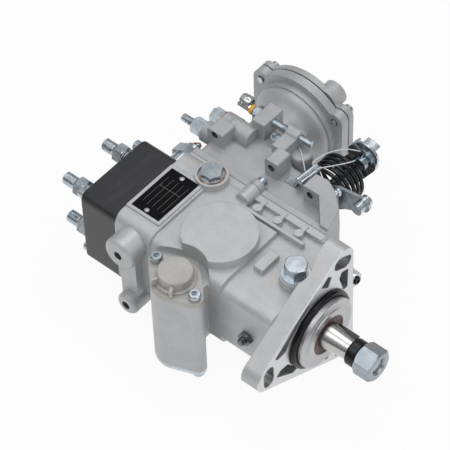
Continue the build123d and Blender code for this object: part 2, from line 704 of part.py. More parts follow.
with BuildPart() as feed_rotor:
    with BuildSketch(across_x(FEED_PLATE_X + FREE_GAP)):
        Circle(ROTOR_R)
        Circle(SHAFT_R + RUN_GAP, mode=Mode.SUBTRACT)
        with PolarLocations(ROTOR_R - VANE_DEPTH / 2, 4):
            Rectangle(VANE_DEPTH, VANE_T + 2 * SEAT_GAP, mode=Mode.SUBTRACT)
    extrude(amount=FEED_L - 2 * FREE_GAP)
feed_rotor.part.label = "feed_rotor"
export_step(feed_rotor.part, "parts/feed_rotor.step")

with BuildPart() as feed_vanes:
    with BuildSketch(across_x(FEED_PLATE_X + FREE_GAP)):
        with PolarLocations(ROTOR_R + VANE_REACH - (VANE_DEPTH + VANE_REACH - SEAT_GAP) / 2, 4):
            Rectangle(VANE_DEPTH + VANE_REACH - SEAT_GAP, VANE_T)
    extrude(amount=FEED_L - 2 * FREE_GAP)
feed_vanes.part.label = "feed_vanes"
export_step(feed_vanes.part, "parts/feed_vanes.step")

with BuildPart() as feed_plate:
    with BuildSketch(across_x(FEED_PLATE_X - FEED_PLATE_T)):
        Circle(FEED_BORE_R - SEAT_GAP)
        Circle(SHAFT_R + FREE_GAP, mode=Mode.SUBTRACT)
        with PolarLocations(SHAFT_R + 8, 2, start_angle=45):
            Circle(2.5, mode=Mode.SUBTRACT)
    extrude(amount=FEED_PLATE_T)
feed_plate.part.label = "feed_plate"
export_step(feed_plate.part, "parts/feed_plate.step")

# Gear pair of the governor
with BuildPart() as drive_gear:
    with BuildSketch(across_x(GEAR_X)):
        with BuildLine():
            Polyline(*gear_points(DRIVE_TEETH, GEAR_MODULE, 0), close=True)
        make_face()
        Circle(SHAFT_R + RUN_GAP, mode=Mode.SUBTRACT)
    extrude(amount=GEAR_W)
drive_gear.part.label = "drive_gear"
export_step(drive_gear.part, "parts/drive_gear.step")

with BuildPart() as governor_cage:
    with BuildSketch(Plane(origin=(GEAR_X, GEAR_CENTRES, 0), x_dir=(0, 1, 0), z_dir=(1, 0, 0))):
        with BuildLine():
            Polyline(*gear_points(GOVERNOR_TEETH, GEAR_MODULE, 180 / GOVERNOR_TEETH), close=True)
        make_face()
    extrude(amount=GEAR_W)
    rod((GEAR_X - CAGE_L, GEAR_CENTRES, 0), (1, 0, 0), CAGE_R, CAGE_L)
    rod(
        (GEAR_X - CAGE_L, GEAR_CENTRES, 0),
        (1, 0, 0),
        CAGE_R - CAGE_WALL,
        CAGE_L - CAGE_WALL,
        Mode.SUBTRACT,
    )
    for n in range(4):
        with Locations(Plane(origin=(GEAR_X - CAGE_L, GEAR_CENTRES, 0), x_dir=(0, 1, 0), z_dir=(1, 0, 0))):
            with PolarLocations(CAGE_R, 1, start_angle=45 + 90 * n):
                Box(12, 14, 2 * (CAGE_L - 2 * CAGE_WALL), mode=Mode.SUBTRACT)
    rod(
        (GEAR_X - CAGE_L, GEAR_CENTRES, 0),
        (1, 0, 0),
        GOVERNOR_SHAFT_R + 0.1,
        CAGE_L + GEAR_W,
        Mode.SUBTRACT,
    )
governor_cage.part.label = "governor_cage"
export_step(governor_cage.part, "parts/governor_cage.step")

# Four flyweights, each with a toe that pushes the slider
WEIGHT_X = GEAR_X - CAGE_L + 2
with BuildPart() as flyweights:
    for n in range(4):
        with BuildSketch(Plane(origin=(WEIGHT_X, GEAR_CENTRES, 0), x_dir=(0, 1, 0), z_dir=(1, 0, 0))):
            with PolarLocations(CAGE_R - CAGE_WALL - FREE_GAP - WEIGHT_T / 2 - 1.5, 1, start_angle=90 * n):
                Rectangle(WEIGHT_T, 12)
        extrude(amount=CAGE_L - CAGE_WALL - 3)
        with BuildSketch(Plane(origin=(WEIGHT_X, GEAR_CENTRES, 0), x_dir=(0, 1, 0), z_dir=(1, 0, 0))):
            with PolarLocations(SLIDER_R + 2.4 + 2, 1, start_angle=90 * n):
                Rectangle(4, 5)
        extrude(amount=3)
flyweights.part.label = "flyweights"
export_step(flyweights.part, "parts/flyweights.step")

with BuildPart() as governor_shaft:
    rod(
        (CONTROL_SLEEVE_X + 14, GEAR_CENTRES, 0),
        (1, 0, 0),
        GOVERNOR_SHAFT_R,
        -49 - CONTROL_SLEEVE_X - 14,
    )
governor_shaft.part.label = "governor_shaft"
export_step(governor_shaft.part, "parts/governor_shaft.step")

with BuildPart() as governor_slider:
    slider_front = WEIGHT_X + 6
    stations = [(SLIDER_END_X, 3), (SLIDER_END_X + 3, SLIDER_R), (slider_front - 2.5, SLIDER_R)]
    stations += [(slider_front - 2.5, SLIDER_R + 2), (slider_front, SLIDER_R + 2)]
    turned(spindle((0, GEAR_CENTRES, 0), (1, 0, 0)), stations)
    bore_start = CONTROL_SLEEVE_X + 11
    rod(
        (bore_start, GEAR_CENTRES, 0),
        (1, 0, 0),
        GOVERNOR_SHAFT_R + RUN_GAP,
        slider_front - bore_start,
        Mode.SUBTRACT,
    )
governor_slider.part.label = "governor_slider"
export_step(governor_slider.part, "parts/governor_slider.step")

# Governor lever with the ball that carries the control sleeve
LEVER_BALL_Y = PLUNGER_R + 3.5
with BuildPart() as governor_lever:
    lever_low = (CONTROL_SLEEVE_X - LEVER_T / 2, LEVER_BALL_Y + 4, -5)
    lever_high = (CONTROL_SLEEVE_X + LEVER_T / 2, GOVERNOR_SPRING_Y + 5, 5)
    block(lever_low, lever_high)
    block(
        (CONTROL_SLEEVE_X - LEVER_T / 2, GOVERNOR_SPRING_Y - 5, -5),
        (CONTROL_SLEEVE_X + LEVER_T / 2, GOVERNOR_SPRING_Y + 5, GOVERNOR_SPRING_Z + 5),
    )
    rod((CONTROL_SLEEVE_X, LEVER_BALL_Y, 0), (0, 1, 0), 1.8, 6)
    with Locations((CONTROL_SLEEVE_X, LEVER_BALL_Y, 0)):
        Sphere(LEVER_BALL_R)
    rod((CONTROL_SLEEVE_X, LEVER_PIVOT_Y, -5), (0, 0, 1), LEVER_PIN_R + 3, 10)
    rod((CONTROL_SLEEVE_X, LEVER_PIVOT_Y, -6), (0, 0, 1), LEVER_PIN_R + RUN_GAP, 12, Mode.SUBTRACT)
governor_lever.part.label = "governor_lever"
export_step(governor_lever.part, "parts/governor_lever.step")

with BuildPart() as lever_pin:
    rod((CONTROL_SLEEVE_X, LEVER_PIVOT_Y, -31), (0, 0, 1), LEVER_PIN_R, 62)
lever_pin.part.label = "lever_pin"
export_step(lever_pin.part, "parts/lever_pin.step")

with BuildPart() as governor_spring:
    spring_start = CONTROL_SLEEVE_X + LEVER_T / 2 + 1.5
    spring_length = LEVER_X - 12 - spring_start
    coil(
        (spring_start, GOVERNOR_SPRING_Y, GOVERNOR_SPRING_Z),
        (1, 0, 0),
        GOVERNOR_SPRING_R,
        0.9,
        8,
        spring_length,
    )
governor_spring.part.label = "governor_spring"
export_step(governor_spring.part, "parts/governor_spring.step")

# Cross disc between the shaft and the cam disc
with BuildPart() as cross_disc:
    block((COUPLING_X, -CLAW_W / 2, -COUPLING_R + 1), (COUPLING_X + CLAW_L, CLAW_W / 2, COUPLING_R - 1))
    block((COUPLING_X - CLAW_L, -COUPLING_R + 1, -CLAW_W / 2), (COUPLING_X, COUPLING_R - 1, CLAW_W / 2))
cross_disc.part.label = "cross_disc"
export_step(cross_disc.part, "parts/cross_disc.step")

# Roller ring with the pin that the timing piston turns
with BuildPart() as roller_ring:
    with BuildSketch(across_x(ROLLER_RING_REAR_X)):
        Circle(CAVITY_R - 0.2)
        Circle(ROLLER_RING_BORE_R, mode=Mode.SUBTRACT)
    extrude(amount=ROLLER_RING_W)
    rod((ROLLER_RING_X, -CAVITY_R + 6, 0), (0, -1, 0), PIN_R, -TIMING_Y - CAVITY_R + 6)
    with Locations((ROLLER_RING_X, TIMING_Y, 0)):
        Sphere(PIN_BALL_R)
    for n in range(4):
        angle = radians(45 + 90 * n)
        start = ROLLER_CIRCLE_R - ROLLER_L / 2 - FREE_GAP
        origin = (ROLLER_RING_REAR_X, start * cos(angle), start * sin(angle))
        rod(
            origin,
            (0, cos(angle), sin(angle)),
            ROLLER_R + SEAT_GAP,
            ROLLER_L + 2 * FREE_GAP,
            Mode.SUBTRACT,
        )
roller_ring.part.label = "roller_ring"
export_step(roller_ring.part, "parts/roller_ring.step")

with BuildPart() as rollers:
    for n in range(4):
        angle = radians(45 + 90 * n)
        start = ROLLER_CIRCLE_R - ROLLER_L / 2
        origin = (ROLLER_RING_REAR_X, start * cos(angle), start * sin(angle))
        rod(origin, (0, cos(angle), sin(angle)), ROLLER_R, ROLLER_L)
rollers.part.label = "rollers"
export_step(rollers.part, "parts/rollers.step")

# Cam disc with its hub, lobes and coupling slot
with BuildPart() as cam_disc:
    rod((CAM_REAR_X, 0, 0), (1, 0, 0), CAM_DISC_R, CAM_DISC_T)
    rod((CAM_REAR_X, 0, 0), (1, 0, 0), COUPLING_R, COUPLING_X - 0.15 - CAM_REAR_X)
    with BuildSketch(across_x(CAM_REAR_X + CAM_DISC_T)):
        for n in range(4):
            with BuildLine() as ridge:
                CenterArc((0, 0), ROLLER_CIRCLE_R, 90 * n - CAM_LOBE_ANGLE / 2, CAM_LOBE_ANGLE)
            SlotArc(ridge.edges()[0], ROLLER_L - 1)
    extrude(amount=CAM_LOBE_H, taper=20)
    block(
        (COUPLING_X - CLAW_L - SEAT_GAP, -COUPLING_R, -CLAW_W / 2 - SEAT_GAP),
        (COUPLING_X, COUPLING_R, CLAW_W / 2 + SEAT_GAP),
        Mode.SUBTRACT,
    )
cam_disc.part.label = "cam_disc"
export_step(cam_disc.part, "parts/cam_disc.step")

# Plunger with its foot against the cam disc
with BuildPart() as plunger:
    stations = [(CAM_REAR_X, PLUNGER_FOOT_R), (CAM_REAR_X - PLUNGER_FOOT_T, PLUNGER_FOOT_R)]
    stations += [(CAM_REAR_X - PLUNGER_FOOT_T, PLUNGER_R), (PLUNGER_END_X, PLUNGER_R)]
    turned(spindle((0, 0, 0), (1, 0, 0)), stations)
plunger.part.label = "plunger"
export_step(plunger.part, "parts/plunger.step")

with BuildPart() as spring_bridge:
    with BuildSketch(across_x(BRIDGE_X - BRIDGE_T)):
        Circle(CAVITY_R - SEAT_GAP)
        Circle(PLUNGER_R + FREE_GAP, mode=Mode.SUBTRACT)
        with Locations((CAVITY_R, 0)):
            Rectangle(18, 24, mode=Mode.SUBTRACT)
    extrude(amount=BRIDGE_T)
spring_bridge.part.label = "spring_bridge"
export_step(spring_bridge.part, "parts/spring_bridge.step")

SPIGOT_FACE_X = BODY_REAR_X + SPIGOT_L
with BuildPart() as plunger_springs:
    gap = PLUNGER_SPRING_WIRE_R + FREE_GAP
    spring_length = BRIDGE_X - BRIDGE_T - SPIGOT_FACE_X - 2 * gap
    for side in (-1, 1):
        coil(
            (SPIGOT_FACE_X + gap, 0, side * PLUNGER_SPRING_OFFSET),
            (1, 0, 0),
            PLUNGER_SPRING_R,
            PLUNGER_SPRING_WIRE_R,
            PLUNGER_SPRING_TURNS,
            spring_length,
        )
plunger_springs.part.label = "plunger_springs"
export_step(plunger_springs.part, "parts/plunger_springs.step")

with BuildPart() as control_sleeve:
    with BuildSketch(across_x(CONTROL_SLEEVE_X - CONTROL_SLEEVE_L / 2)):
        Circle(CONTROL_SLEEVE_R)
        Circle(PLUNGER_R + RUN_GAP, mode=Mode.SUBTRACT)
    extrude(amount=CONTROL_SLEEVE_L)
    rod(
        (CONTROL_SLEEVE_X, PLUNGER_R + 0.8, 0),
        (0, 1, 0),
        LEVER_BALL_R + FREE_GAP,
        CONTROL_SLEEVE_R,
        Mode.SUBTRACT,
    )
control_sleeve.part.label = "control_sleeve"
export_step(control_sleeve.part, "parts/control_sleeve.step")

# Distributor head, barrel and outlet holders
with BuildPart() as distributor_head:
    with BuildSketch(across_x(HEAD_REAR_X)):
        RectangleRounded(2 * HEAD_HALF, 2 * HEAD_HALF, HEAD_ROUND)
    extrude(amount=HEAD_L)
    fillet(distributor_head.faces().sort_by(Axis.X)[0].edges(), 2.5)
    rod((BODY_REAR_X, 0, 0), (1, 0, 0), CAVITY_R - SEAT_GAP, SPIGOT_L)
    rod((HEAD_REAR_X, 0, 0), (1, 0, 0), BARREL_R, HEAD_L + SPIGOT_L, Mode.SUBTRACT)
    for y, z in OUTLETS:
        rod((HEAD_REAR_X, y, z), (1, 0, 0), OUTLET_SHANK_R, OUTLET_SHANK_L, Mode.SUBTRACT)
    for y, z in HEAD_BOLTS:
        rod((HEAD_REAR_X, y, z), (1, 0, 0), HEAD_BOLT_R + SEAT_GAP, HEAD_L, Mode.SUBTRACT)
    rod((SOLENOID_X, HEAD_HALF - 13, SOLENOID_Z), (0, 1, 0), 7, 14, Mode.SUBTRACT)
distributor_head.part.label = "distributor_head"
export_step(distributor_head.part, "parts/distributor_head.step")

with BuildPart() as distributor_barrel:
    with BuildSketch(across_x(HEAD_REAR_X + 5)):
        Circle(BARREL_R - 0.01)
        Circle(PLUNGER_R + RUN_GAP, mode=Mode.SUBTRACT)
    extrude(amount=HEAD_L - 5 + SPIGOT_L + BARREL_NOSE)
distributor_barrel.part.label = "distributor_barrel"
export_step(distributor_barrel.part, "parts/distributor_barrel.step")

with BuildPart() as head_plug:
    rod((HEAD_REAR_X + 4.9, 0, 0), (-1, 0, 0), BARREL_R - 0.01, 4.9)
    hex_bar((HEAD_REAR_X, 0, 0), (-1, 0, 0), 30, 8)
head_plug.part.label = "head_plug"
export_step(head_plug.part, "parts/head_plug.step")

with BuildPart() as outlet_holders:
    stations = [(-OUTLET_SHANK_L, 5.5), (-4, 5.5), (-4, OUTLET_SHANK_R - 0.01), (0, OUTLET_SHANK_R - 0.01)]
    stations += [(0, 7), (8, 7), (8, 8.2), (9, 8.2), (9, 5.2), (OUTLET_L - 14, 5.2)]
    stations += [(OUTLET_L - 14, OUTLET_THREAD_R), (OUTLET_L - 1.5, OUTLET_THREAD_R), (OUTLET_L, 4.6)]
    for y, z in OUTLETS:
        axis = spindle((HEAD_REAR_X, y, z), (-1, 0, 0))
        turned(axis, stations)
        hex_bar((HEAD_REAR_X - 9, y, z), (-1, 0, 0), OUTLET_HEX, 9)
        turned(axis, [(OUTLET_L - 5, 0.4), (OUTLET_L, 3.4)], Mode.SUBTRACT)
        rod(
            (HEAD_REAR_X + OUTLET_SHANK_L, y, z),
            (-1, 0, 0),
            1.2,
            OUTLET_SHANK_L + OUTLET_L,
            Mode.SUBTRACT,
        )
outlet_holders.part.label = "outlet_holders"
export_step(outlet_holders.part, "parts/outlet_holders.step")

with BuildPart() as head_bolts:
    for y, z in HEAD_BOLTS:
        socket_screw((HEAD_REAR_X, y, z), (-1, 0, 0), HEAD_BOLT_R, HEAD_L + HEAD_BOLT_GRIP, 5, 6)
head_bolts.part.label = "head_bolts"
export_step(head_bolts.part, "parts/head_bolts.step")

# Stop solenoid on the head
with BuildPart() as stop_solenoid:
    turned(
        spindle((SOLENOID_X, HEAD_HALF, SOLENOID_Z), (0, 1, 0)),
        [(-12, 7), (0, 7), (0, 10.5), (17, 10.5)],
    )
    hex_bar((SOLENOID_X, HEAD_HALF + 17, SOLENOID_Z), (0, 1, 0), 24, 11)
    stations = [(0, 9), (5, 9), (6, 8), (6, 4), (9, 4), (9, 2), (13, 2)]
    turned(spindle((SOLENOID_X, HEAD_HALF + 28, SOLENOID_Z), (0, 1, 0)), stations)
stop_solenoid.part.label = "stop_solenoid"
export_step(stop_solenoid.part, "parts/stop_solenoid.step")

# Timing piston, spring, cover and end plate
with BuildPart() as timing_piston:
    rod((TIMING_X, TIMING_Y, -PISTON_L / 2), (0, 0, 1), TIMING_BORE_R - RUN_GAP, PISTON_L)
    rod((TIMING_X, TIMING_Y - 6, 0), (0, 1, 0), PIN_BALL_R + 0.2, 30, Mode.SUBTRACT)
    rod((TIMING_X, TIMING_Y, -PISTON_L / 2), (0, 0, 1), 11, 12, Mode.SUBTRACT)
timing_piston.part.label = "timing_piston"
export_step(timing_piston.part, "parts/timing_piston.step")

with BuildPart() as timing_spring:
    start_z = TIMING_BOTTOM + 1.8
    coil((TIMING_X, TIMING_Y, start_z), (0, 0, 1), 8.5, 1.4, 6, 12 - PISTON_L / 2 - start_z - 1.8)
timing_spring.part.label = "timing_spring"
export_step(timing_spring.part, "parts/timing_spring.step")

with BuildPart() as timing_cover:
    extrude(timing_outline(Plane.XY.offset(TIMING_TOP)), amount=TIMING_COVER_T)
    stations = [
        (0, TIMING_BOSS_R + 2.5),
        (TIMING_COVER_T + 1, TIMING_BOSS_R + 2.5),
        (TIMING_COVER_T + 2, TIMING_BOSS_R),
    ]
    stations += [
        (TIMING_COVER_T + TIMING_BOSS_H - 0.8, TIMING_BOSS_R),
        (TIMING_COVER_T + TIMING_BOSS_H, TIMING_BOSS_R - 0.8),
    ]
    turned(spindle((TIMING_X, TIMING_Y, TIMING_TOP), (0, 0, 1)), stations)
    for turn in (-60, -120, 160):
        with BuildSketch(Plane.XY.offset(TIMING_TOP + TIMING_COVER_T)):
            with Locations((TIMING_X, TIMING_Y)):
                with PolarLocations(TIMING_BOSS_R + 2.5, 1, start_angle=turn):
                    Rectangle(7, 3)
        extrude(amount=TIMING_BOSS_H - 3)
    for x, y in TIMING_SCREWS:
        rod(
            (x, y, TIMING_TOP + TIMING_COVER_T),
            (0, 0, 1),
            TIMING_LUG_R,
            TIMING_BOSS_H + 4,
            Mode.SUBTRACT,
        )
        rod((x, y, TIMING_TOP), (0, 0, 1), SCREW_R + SEAT_GAP, TIMING_COVER_T, Mode.SUBTRACT)
timing_cover.part.label = "timing_cover"
export_step(timing_cover.part, "parts/timing_cover.step")

with BuildPart() as timing_plate:
    extrude(timing_outline(Plane.XY.offset(TIMING_BOTTOM - TIMING_PLATE_T)), amount=TIMING_PLATE_T)
    for x, y in TIMING_SCREWS:
        rod(
            (x, y, TIMING_BOTTOM - TIMING_PLATE_T),
            (0, 0, 1),
            SCREW_R + SEAT_GAP,
            TIMING_PLATE_T,
            Mode.SUBTRACT,
        )
timing_plate.part.label = "timing_plate"
export_step(timing_plate.part, "parts/timing_plate.step")

# Bare nameplate
with BuildPart() as nameplate:
    block(
        (PLATE_X - PLATE_W / 2, PLATE_Y - PLATE_H / 2, REAR_HALF_Z),
        (PLATE_X + PLATE_W / 2, PLATE_Y + PLATE_H / 2, REAR_HALF_Z + PLATE_T),
    )
nameplate.part.label = "nameplate"
export_step(nameplate.part, "parts/nameplate.step")

# Plug in the round boss and the inlet bolt
with BuildPart() as boss_plug:
    seat = PLUG_BOSS_TOP - PLUG_RECESS + COPPER_T
    rod((PLUG_BOSS_X, PLUG_BOSS_Y, seat - 13), (0, 0, 1), PLUG_THREAD_R, 13)
    rod((PLUG_BOSS_X, PLUG_BOSS_Y, seat), (0, 0, 1), 10.6, 1.2)
    hex_bar((PLUG_BOSS_X, PLUG_BOSS_Y, seat + 1.2), (0, 0, 1), 18, 6)
boss_plug.part.label = "boss_plug"
export_step(boss_plug.part, "parts/boss_plug.step")

with BuildPart() as inlet_bolt:
    seat = (INLET_X, INLET_Y, INLET_BOSS_TOP)
    hex_bar(seat, (0, 0, 1), 19, 14)
    turned(spindle(seat, (0, 0, 1)), [(0, 11), (12.4, 11), (14, 9.2)], Mode.INTERSECT)
    turned(
        spindle(seat, (0, 0, 1)),
        [(-INLET_DEPTH, INLET_THREAD_R), (0, INLET_THREAD_R), (0, 12.5), (2, 12.5)],
    )
inlet_bolt.part.label = "inlet_bolt"
export_step(inlet_bolt.part, "parts/inlet_bolt.step")

# Governor cover, one casting with the compensator's lower half
COVER_PROFILE = [
    (COVER_REAR_X, COVER_FOOT_Y),
    (COVER_REAR_X, COVER_HIGH_Y),
    (COVER_BREAK_X - 6, COVER_HIGH_Y),
    (COVER_BREAK_X + 6, COVER_LOW_Y),
    (COVER_FRONT_X - 22, COVER_LOW_Y),
    (COVER_FRONT_X, COVER_LOW_Y - 26),
    (COVER_FRONT_X, COVER_FOOT_Y),
]
with BuildPart() as governor_cover:
    with BuildSketch(Plane.XY.offset(-COVER_HALF_Z)):
        with BuildLine():
            Polyline(*COVER_PROFILE, close=True)
        make_face()
    extrude(amount=2 * COVER_HALF_Z)
    upper_edges = governor_cover.edges().filter_by(Axis.Z).group_by(Axis.Y)[1:]
    fillet([edge for group in upper_edges for edge in group], COVER_ROUND)
    side_faces = governor_cover.faces().sort_by(Axis.Z)
    rim_edges = side_faces[-1].edges() + side_faces[0].edges()
    fillet([edge for edge in rim_edges if edge.center().Y > COVER_FOOT_Y + 1], COVER_ROUND / 2)
    block(
        (COVER_REAR_X, COVER_FOOT_Y, -COVER_HALF_Z - 5),
        (COVER_FRONT_X, COVER_FOOT_Y + COVER_FLANGE_T, COVER_HALF_Z + 5),
    )
    for x, side in COVER_SCREWS:
        rod((x, COVER_FOOT_Y, side * COVER_LUG_Z), (0, 1, 0), COVER_LUG_R, COVER_FLANGE_T)
    (rear_x, rear_y), (middle_x, middle_y), (front_x, front_y) = BOSS_HOLES
    boss_block((rear_x - 8.5, rear_y, BOSS_LOW_Z), (rear_x + 9, rear_y + 17, REAR_BOSS_TOP), BOSS_ROUND)
    boss_block((middle_x - 7, middle_y, BOSS_LOW_Z), (middle_x + 7, middle_y + 18, BOSS_TOP), BOSS_ROUND)
    with BuildSketch(Plane.XY.offset(BOSS_LOW_Z)):
        with BuildLine():
            Polyline(
                (front_x - 7, front_y),
                (front_x - 7, front_y + 17),
                (front_x + 6, front_y + 18),
                (front_x + 18, front_y + 12),
                (COVER_FRONT_X, front_y - 2),
                (COVER_FRONT_X, COVER_FOOT_Y + 3),
                (COVER_FRONT_X - 8, COVER_FOOT_Y + 3),
                (front_x + 10, front_y),
                close=True,
            )
        make_face()
    extrude(amount=BOSS_TOP - BOSS_LOW_Z)
    with BuildSketch(across_x(front_x + 10)) as slant:
        with BuildLine():
            Polyline(
                (COVER_FOOT_Y, BOSS_TOP - 14),
                (front_y, BOSS_TOP),
                (front_y, BOSS_TOP + 2),
                (COVER_FOOT_Y, BOSS_TOP + 2),
                close=True,
            )
        make_face()
    extrude(slant.sketch, amount=COVER_FRONT_X - front_x, mode=Mode.SUBTRACT)
    soft_rod(
        (rear_x - 2, rear_y + 24, COVER_HALF_Z + 3),
        (1, 0, 0),
        10,
        ROUND_BOSS_L,
        4,
    )
    rod(
        (COVER_REAR_X + 8, REAR_STUD_Y, REAR_STUD_Z),
        (-1, 0, 0),
        REAR_BOSS_R,
        COVER_REAR_X + 8 - REAR_STUD_SEAT_X,
    )
    rod(
        (COVER_REAR_X + 8, REAR_PLUG_Y, REAR_PLUG_Z),
        (-1, 0, 0),
        REAR_BOSS_R,
        COVER_REAR_X + 8 - REAR_PLUG_SEAT_X,
    )
    rod((SIDE_SCREW_X, SIDE_SCREW_Y, COVER_HALF_Z - 10), (0, 0, 1), 7, 12)
    bell_axis = spindle((BOOST_X, 0, BOOST_Z), (0, 1, 0))
    with BuildSketch(bell_axis) as bell:
        with BuildLine():
            Polyline(
                (BELL_CURVE[0][0], BELL_CURVE[0][1]),
                (COVER_HIGH_Y - COVER_WALL, BOOST_NECK_R),
                (COVER_HIGH_Y - COVER_WALL, 0),
                (BOOST_FLANGE_Y, 0),
                (BOOST_FLANGE_Y, BELL_RIM_R),
                (BOOST_FLANGE_Y - 6, BELL_RIM_R),
                (BOOST_FLANGE_Y - 6, BELL_CURVE[-1][1]),
                (BELL_CURVE[-1][0], BELL_CURVE[-1][1]),
            )
            Spline(*BELL_CURVE)
        make_face()
    revolve(bell.sketch, axis=Axis(bell_axis.origin, bell_axis.x_dir))
    extrude(boost_outline(across_y(BOOST_FLANGE_Y)), amount=-BOOST_FLANGE_T)
    block((STOP_LUG_X, STOP_Y - 14, BOOST_Z), (STOP_LUG_X + STOP_LUG_T, STOP_Y + 12, STOP_Z + 7))
    block((STOP_EAR_X, 100, COVER_HALF_Z - 6), (STOP_EAR_X + STOP_EAR_T, STOP_Y + 2, STOP_Z + 4))
    rod((STOP_EAR_X, STOP_Y, STOP_Z), (1, 0, 0), 8, STOP_EAR_T)

    with BuildSketch(Plane.XY.offset(-COVER_HALF_Z + COVER_WALL)) as hollow:
        with BuildLine():
            Polyline(*COVER_PROFILE, close=True)
        make_face()
        offset(amount=-COVER_WALL, kind=Kind.INTERSECTION)
    extrude(hollow.sketch, amount=2 * (COVER_HALF_Z - COVER_WALL), mode=Mode.SUBTRACT)
    block(
        (COVER_REAR_X + COVER_WALL, COVER_FOOT_Y, -COVER_HALF_Z + COVER_WALL),
        (COVER_FRONT_X - COVER_WALL, COVER_FOOT_Y + COVER_WALL, COVER_HALF_Z - COVER_WALL),
        Mode.SUBTRACT,
    )
    rod(
        (LEVER_X, COVER_LOW_Y - 14, LEVER_Z),
        (0, 1, 0),
        LEVER_SHAFT_R + 4,
        LOW_LEVER_Y - COVER_LOW_Y + 14,
    )
    turned(
        spindle((BOOST_X, BOOST_SEAT_Y, BOOST_Z), (0, 1, 0)),
        [
            (0, BOOST_SPRING_R + 7),
            (BOOST_FLANGE_Y - 12 - BOOST_SEAT_Y, BOOST_SPRING_R + 7),
            (BOOST_FLANGE_Y - BOOST_SEAT_Y, BOOST_CHAMBER_R),
            (BOOST_FLANGE_Y + BOOST_FLANGE_T - BOOST_SEAT_Y, BOOST_CHAMBER_R),
        ],
        Mode.SUBTRACT,
    )
    rod((BOOST_X, COVER_HIGH_Y - 10, BOOST_Z), (0, 1, 0), BOOST_PIN_R + RUN_GAP, 30, Mode.SUBTRACT)
    rod((LEVER_X, COVER_LOW_Y - 14, LEVER_Z), (0, 1, 0), LEVER_SHAFT_R + RUN_GAP, 20, Mode.SUBTRACT)
    rod(
        (STOP_LUG_X, STOP_Y, STOP_Z),
        (1, 0, 0),
        STOP_R,
        STOP_EAR_X + STOP_EAR_T - STOP_LUG_X,
        Mode.SUBTRACT,
    )
    rod((REAR_STUD_SEAT_X, REAR_STUD_Y, REAR_STUD_Z), (1, 0, 0), REAR_STUD_R, 11, Mode.SUBTRACT)
    rod((REAR_PLUG_SEAT_X, REAR_PLUG_Y, REAR_PLUG_Z), (1, 0, 0), REAR_PLUG_THREAD_R, 10, Mode.SUBTRACT)
    rod((SIDE_SCREW_X, SIDE_SCREW_Y, COVER_HALF_Z + 2), (0, 0, -1), SCREW_R, 14, Mode.SUBTRACT)
    for x, face_y in BOSS_HOLES:
        rod((x, face_y, BOSS_HOLE_Z), (0, 1, 0), BOSS_HOLE_R, BOSS_HOLE_L, Mode.SUBTRACT)
    for x, z in BOOST_SCREWS:
        rod((x, BOOST_FLANGE_Y, z), (0, 1, 0), BOOST_SCREW_R, BOOST_FLANGE_T, Mode.SUBTRACT)
    for x, side in COVER_SCREWS:
        rod(
            (x, COVER_FOOT_Y, side * COVER_LUG_Z),
            (0, 1, 0),
            SCREW_R + SEAT_GAP,
            COVER_FLANGE_T,
            Mode.SUBTRACT,
        )
governor_cover.part.label = "governor_cover"
export_step(governor_cover.part, "parts/governor_cover.step")

with BuildPart() as cover_gasket:
    block((COVER_REAR_X, DECK_Y, -COVER_HALF_Z - 5), (COVER_FRONT_X, COVER_FOOT_Y, COVER_HALF_Z + 5))
    block((-176, DECK_Y, -25), (-60, COVER_FOOT_Y, 25), Mode.SUBTRACT)
    for x, side in COVER_SCREWS:
        rod((x, DECK_Y, side * COVER_LUG_Z), (0, 1, 0), COVER_LUG_R, GASKET_T)
        rod((x, DECK_Y, side * COVER_LUG_Z), (0, 1, 0), SCREW_R + SEAT_GAP, GASKET_T, Mode.SUBTRACT)
cover_gasket.part.label = "cover_gasket"
export_step(cover_gasket.part, "parts/cover_gasket.step")

# Socket screws of the cover and the timing device
with BuildPart() as small_screws:
    for x, side in COVER_SCREWS:
        seat = (x, COVER_FOOT_Y + COVER_FLANGE_T, side * COVER_LUG_Z)
        socket_screw(seat, (0, 1, 0), SCREW_R, COVER_FLANGE_T + GASKET_T + 11, SCREW_HEAD_R, SCREW_HEAD_H)
    for x, y in TIMING_SCREWS:
        seat = (x, y, TIMING_TOP + TIMING_COVER_T)
        socket_screw(seat, (0, 0, 1), SCREW_R, TIMING_COVER_T + 12, SCREW_HEAD_R, SCREW_HEAD_H)
        seat = (x, y, TIMING_BOTTOM - TIMING_PLATE_T)
        socket_screw(seat, (0, 0, -1), SCREW_R, TIMING_PLATE_T + 12, SCREW_HEAD_R, SCREW_HEAD_H)
    seat = (SIDE_SCREW_X, SIDE_SCREW_Y, COVER_HALF_Z + 2)
    socket_screw(seat, (0, 0, 1), SCREW_R, 12, SCREW_HEAD_R, SCREW_HEAD_H)
small_screws.part.label = "small_screws"
export_step(small_screws.part, "parts/small_screws.step")

# Fittings on the rear and side of the cover
with BuildPart() as rear_stud:
    rod(
        (REAR_STUD_SEAT_X + 10, REAR_STUD_Y, REAR_STUD_Z),
        (-1, 0, 0),
        REAR_STUD_R,
        REAR_STUD_SEAT_X + 10 - REAR_STUD_TIP_X,
    )
rear_stud.part.label = "rear_stud"
export_step(rear_stud.part, "parts/rear_stud.step")

with BuildPart() as rear_nut:
    hex_bar((REAR_STUD_SEAT_X, REAR_STUD_Y, REAR_STUD_Z), (-1, 0, 0), 14, 13)
    rod(
        (REAR_STUD_SEAT_X, REAR_STUD_Y, REAR_STUD_Z),
        (-1, 0, 0),
        REAR_STUD_R + RUN_GAP,
        13,
        Mode.SUBTRACT,
    )
rear_nut.part.label = "rear_nut"
export_step(rear_nut.part, "parts/rear_nut.step")

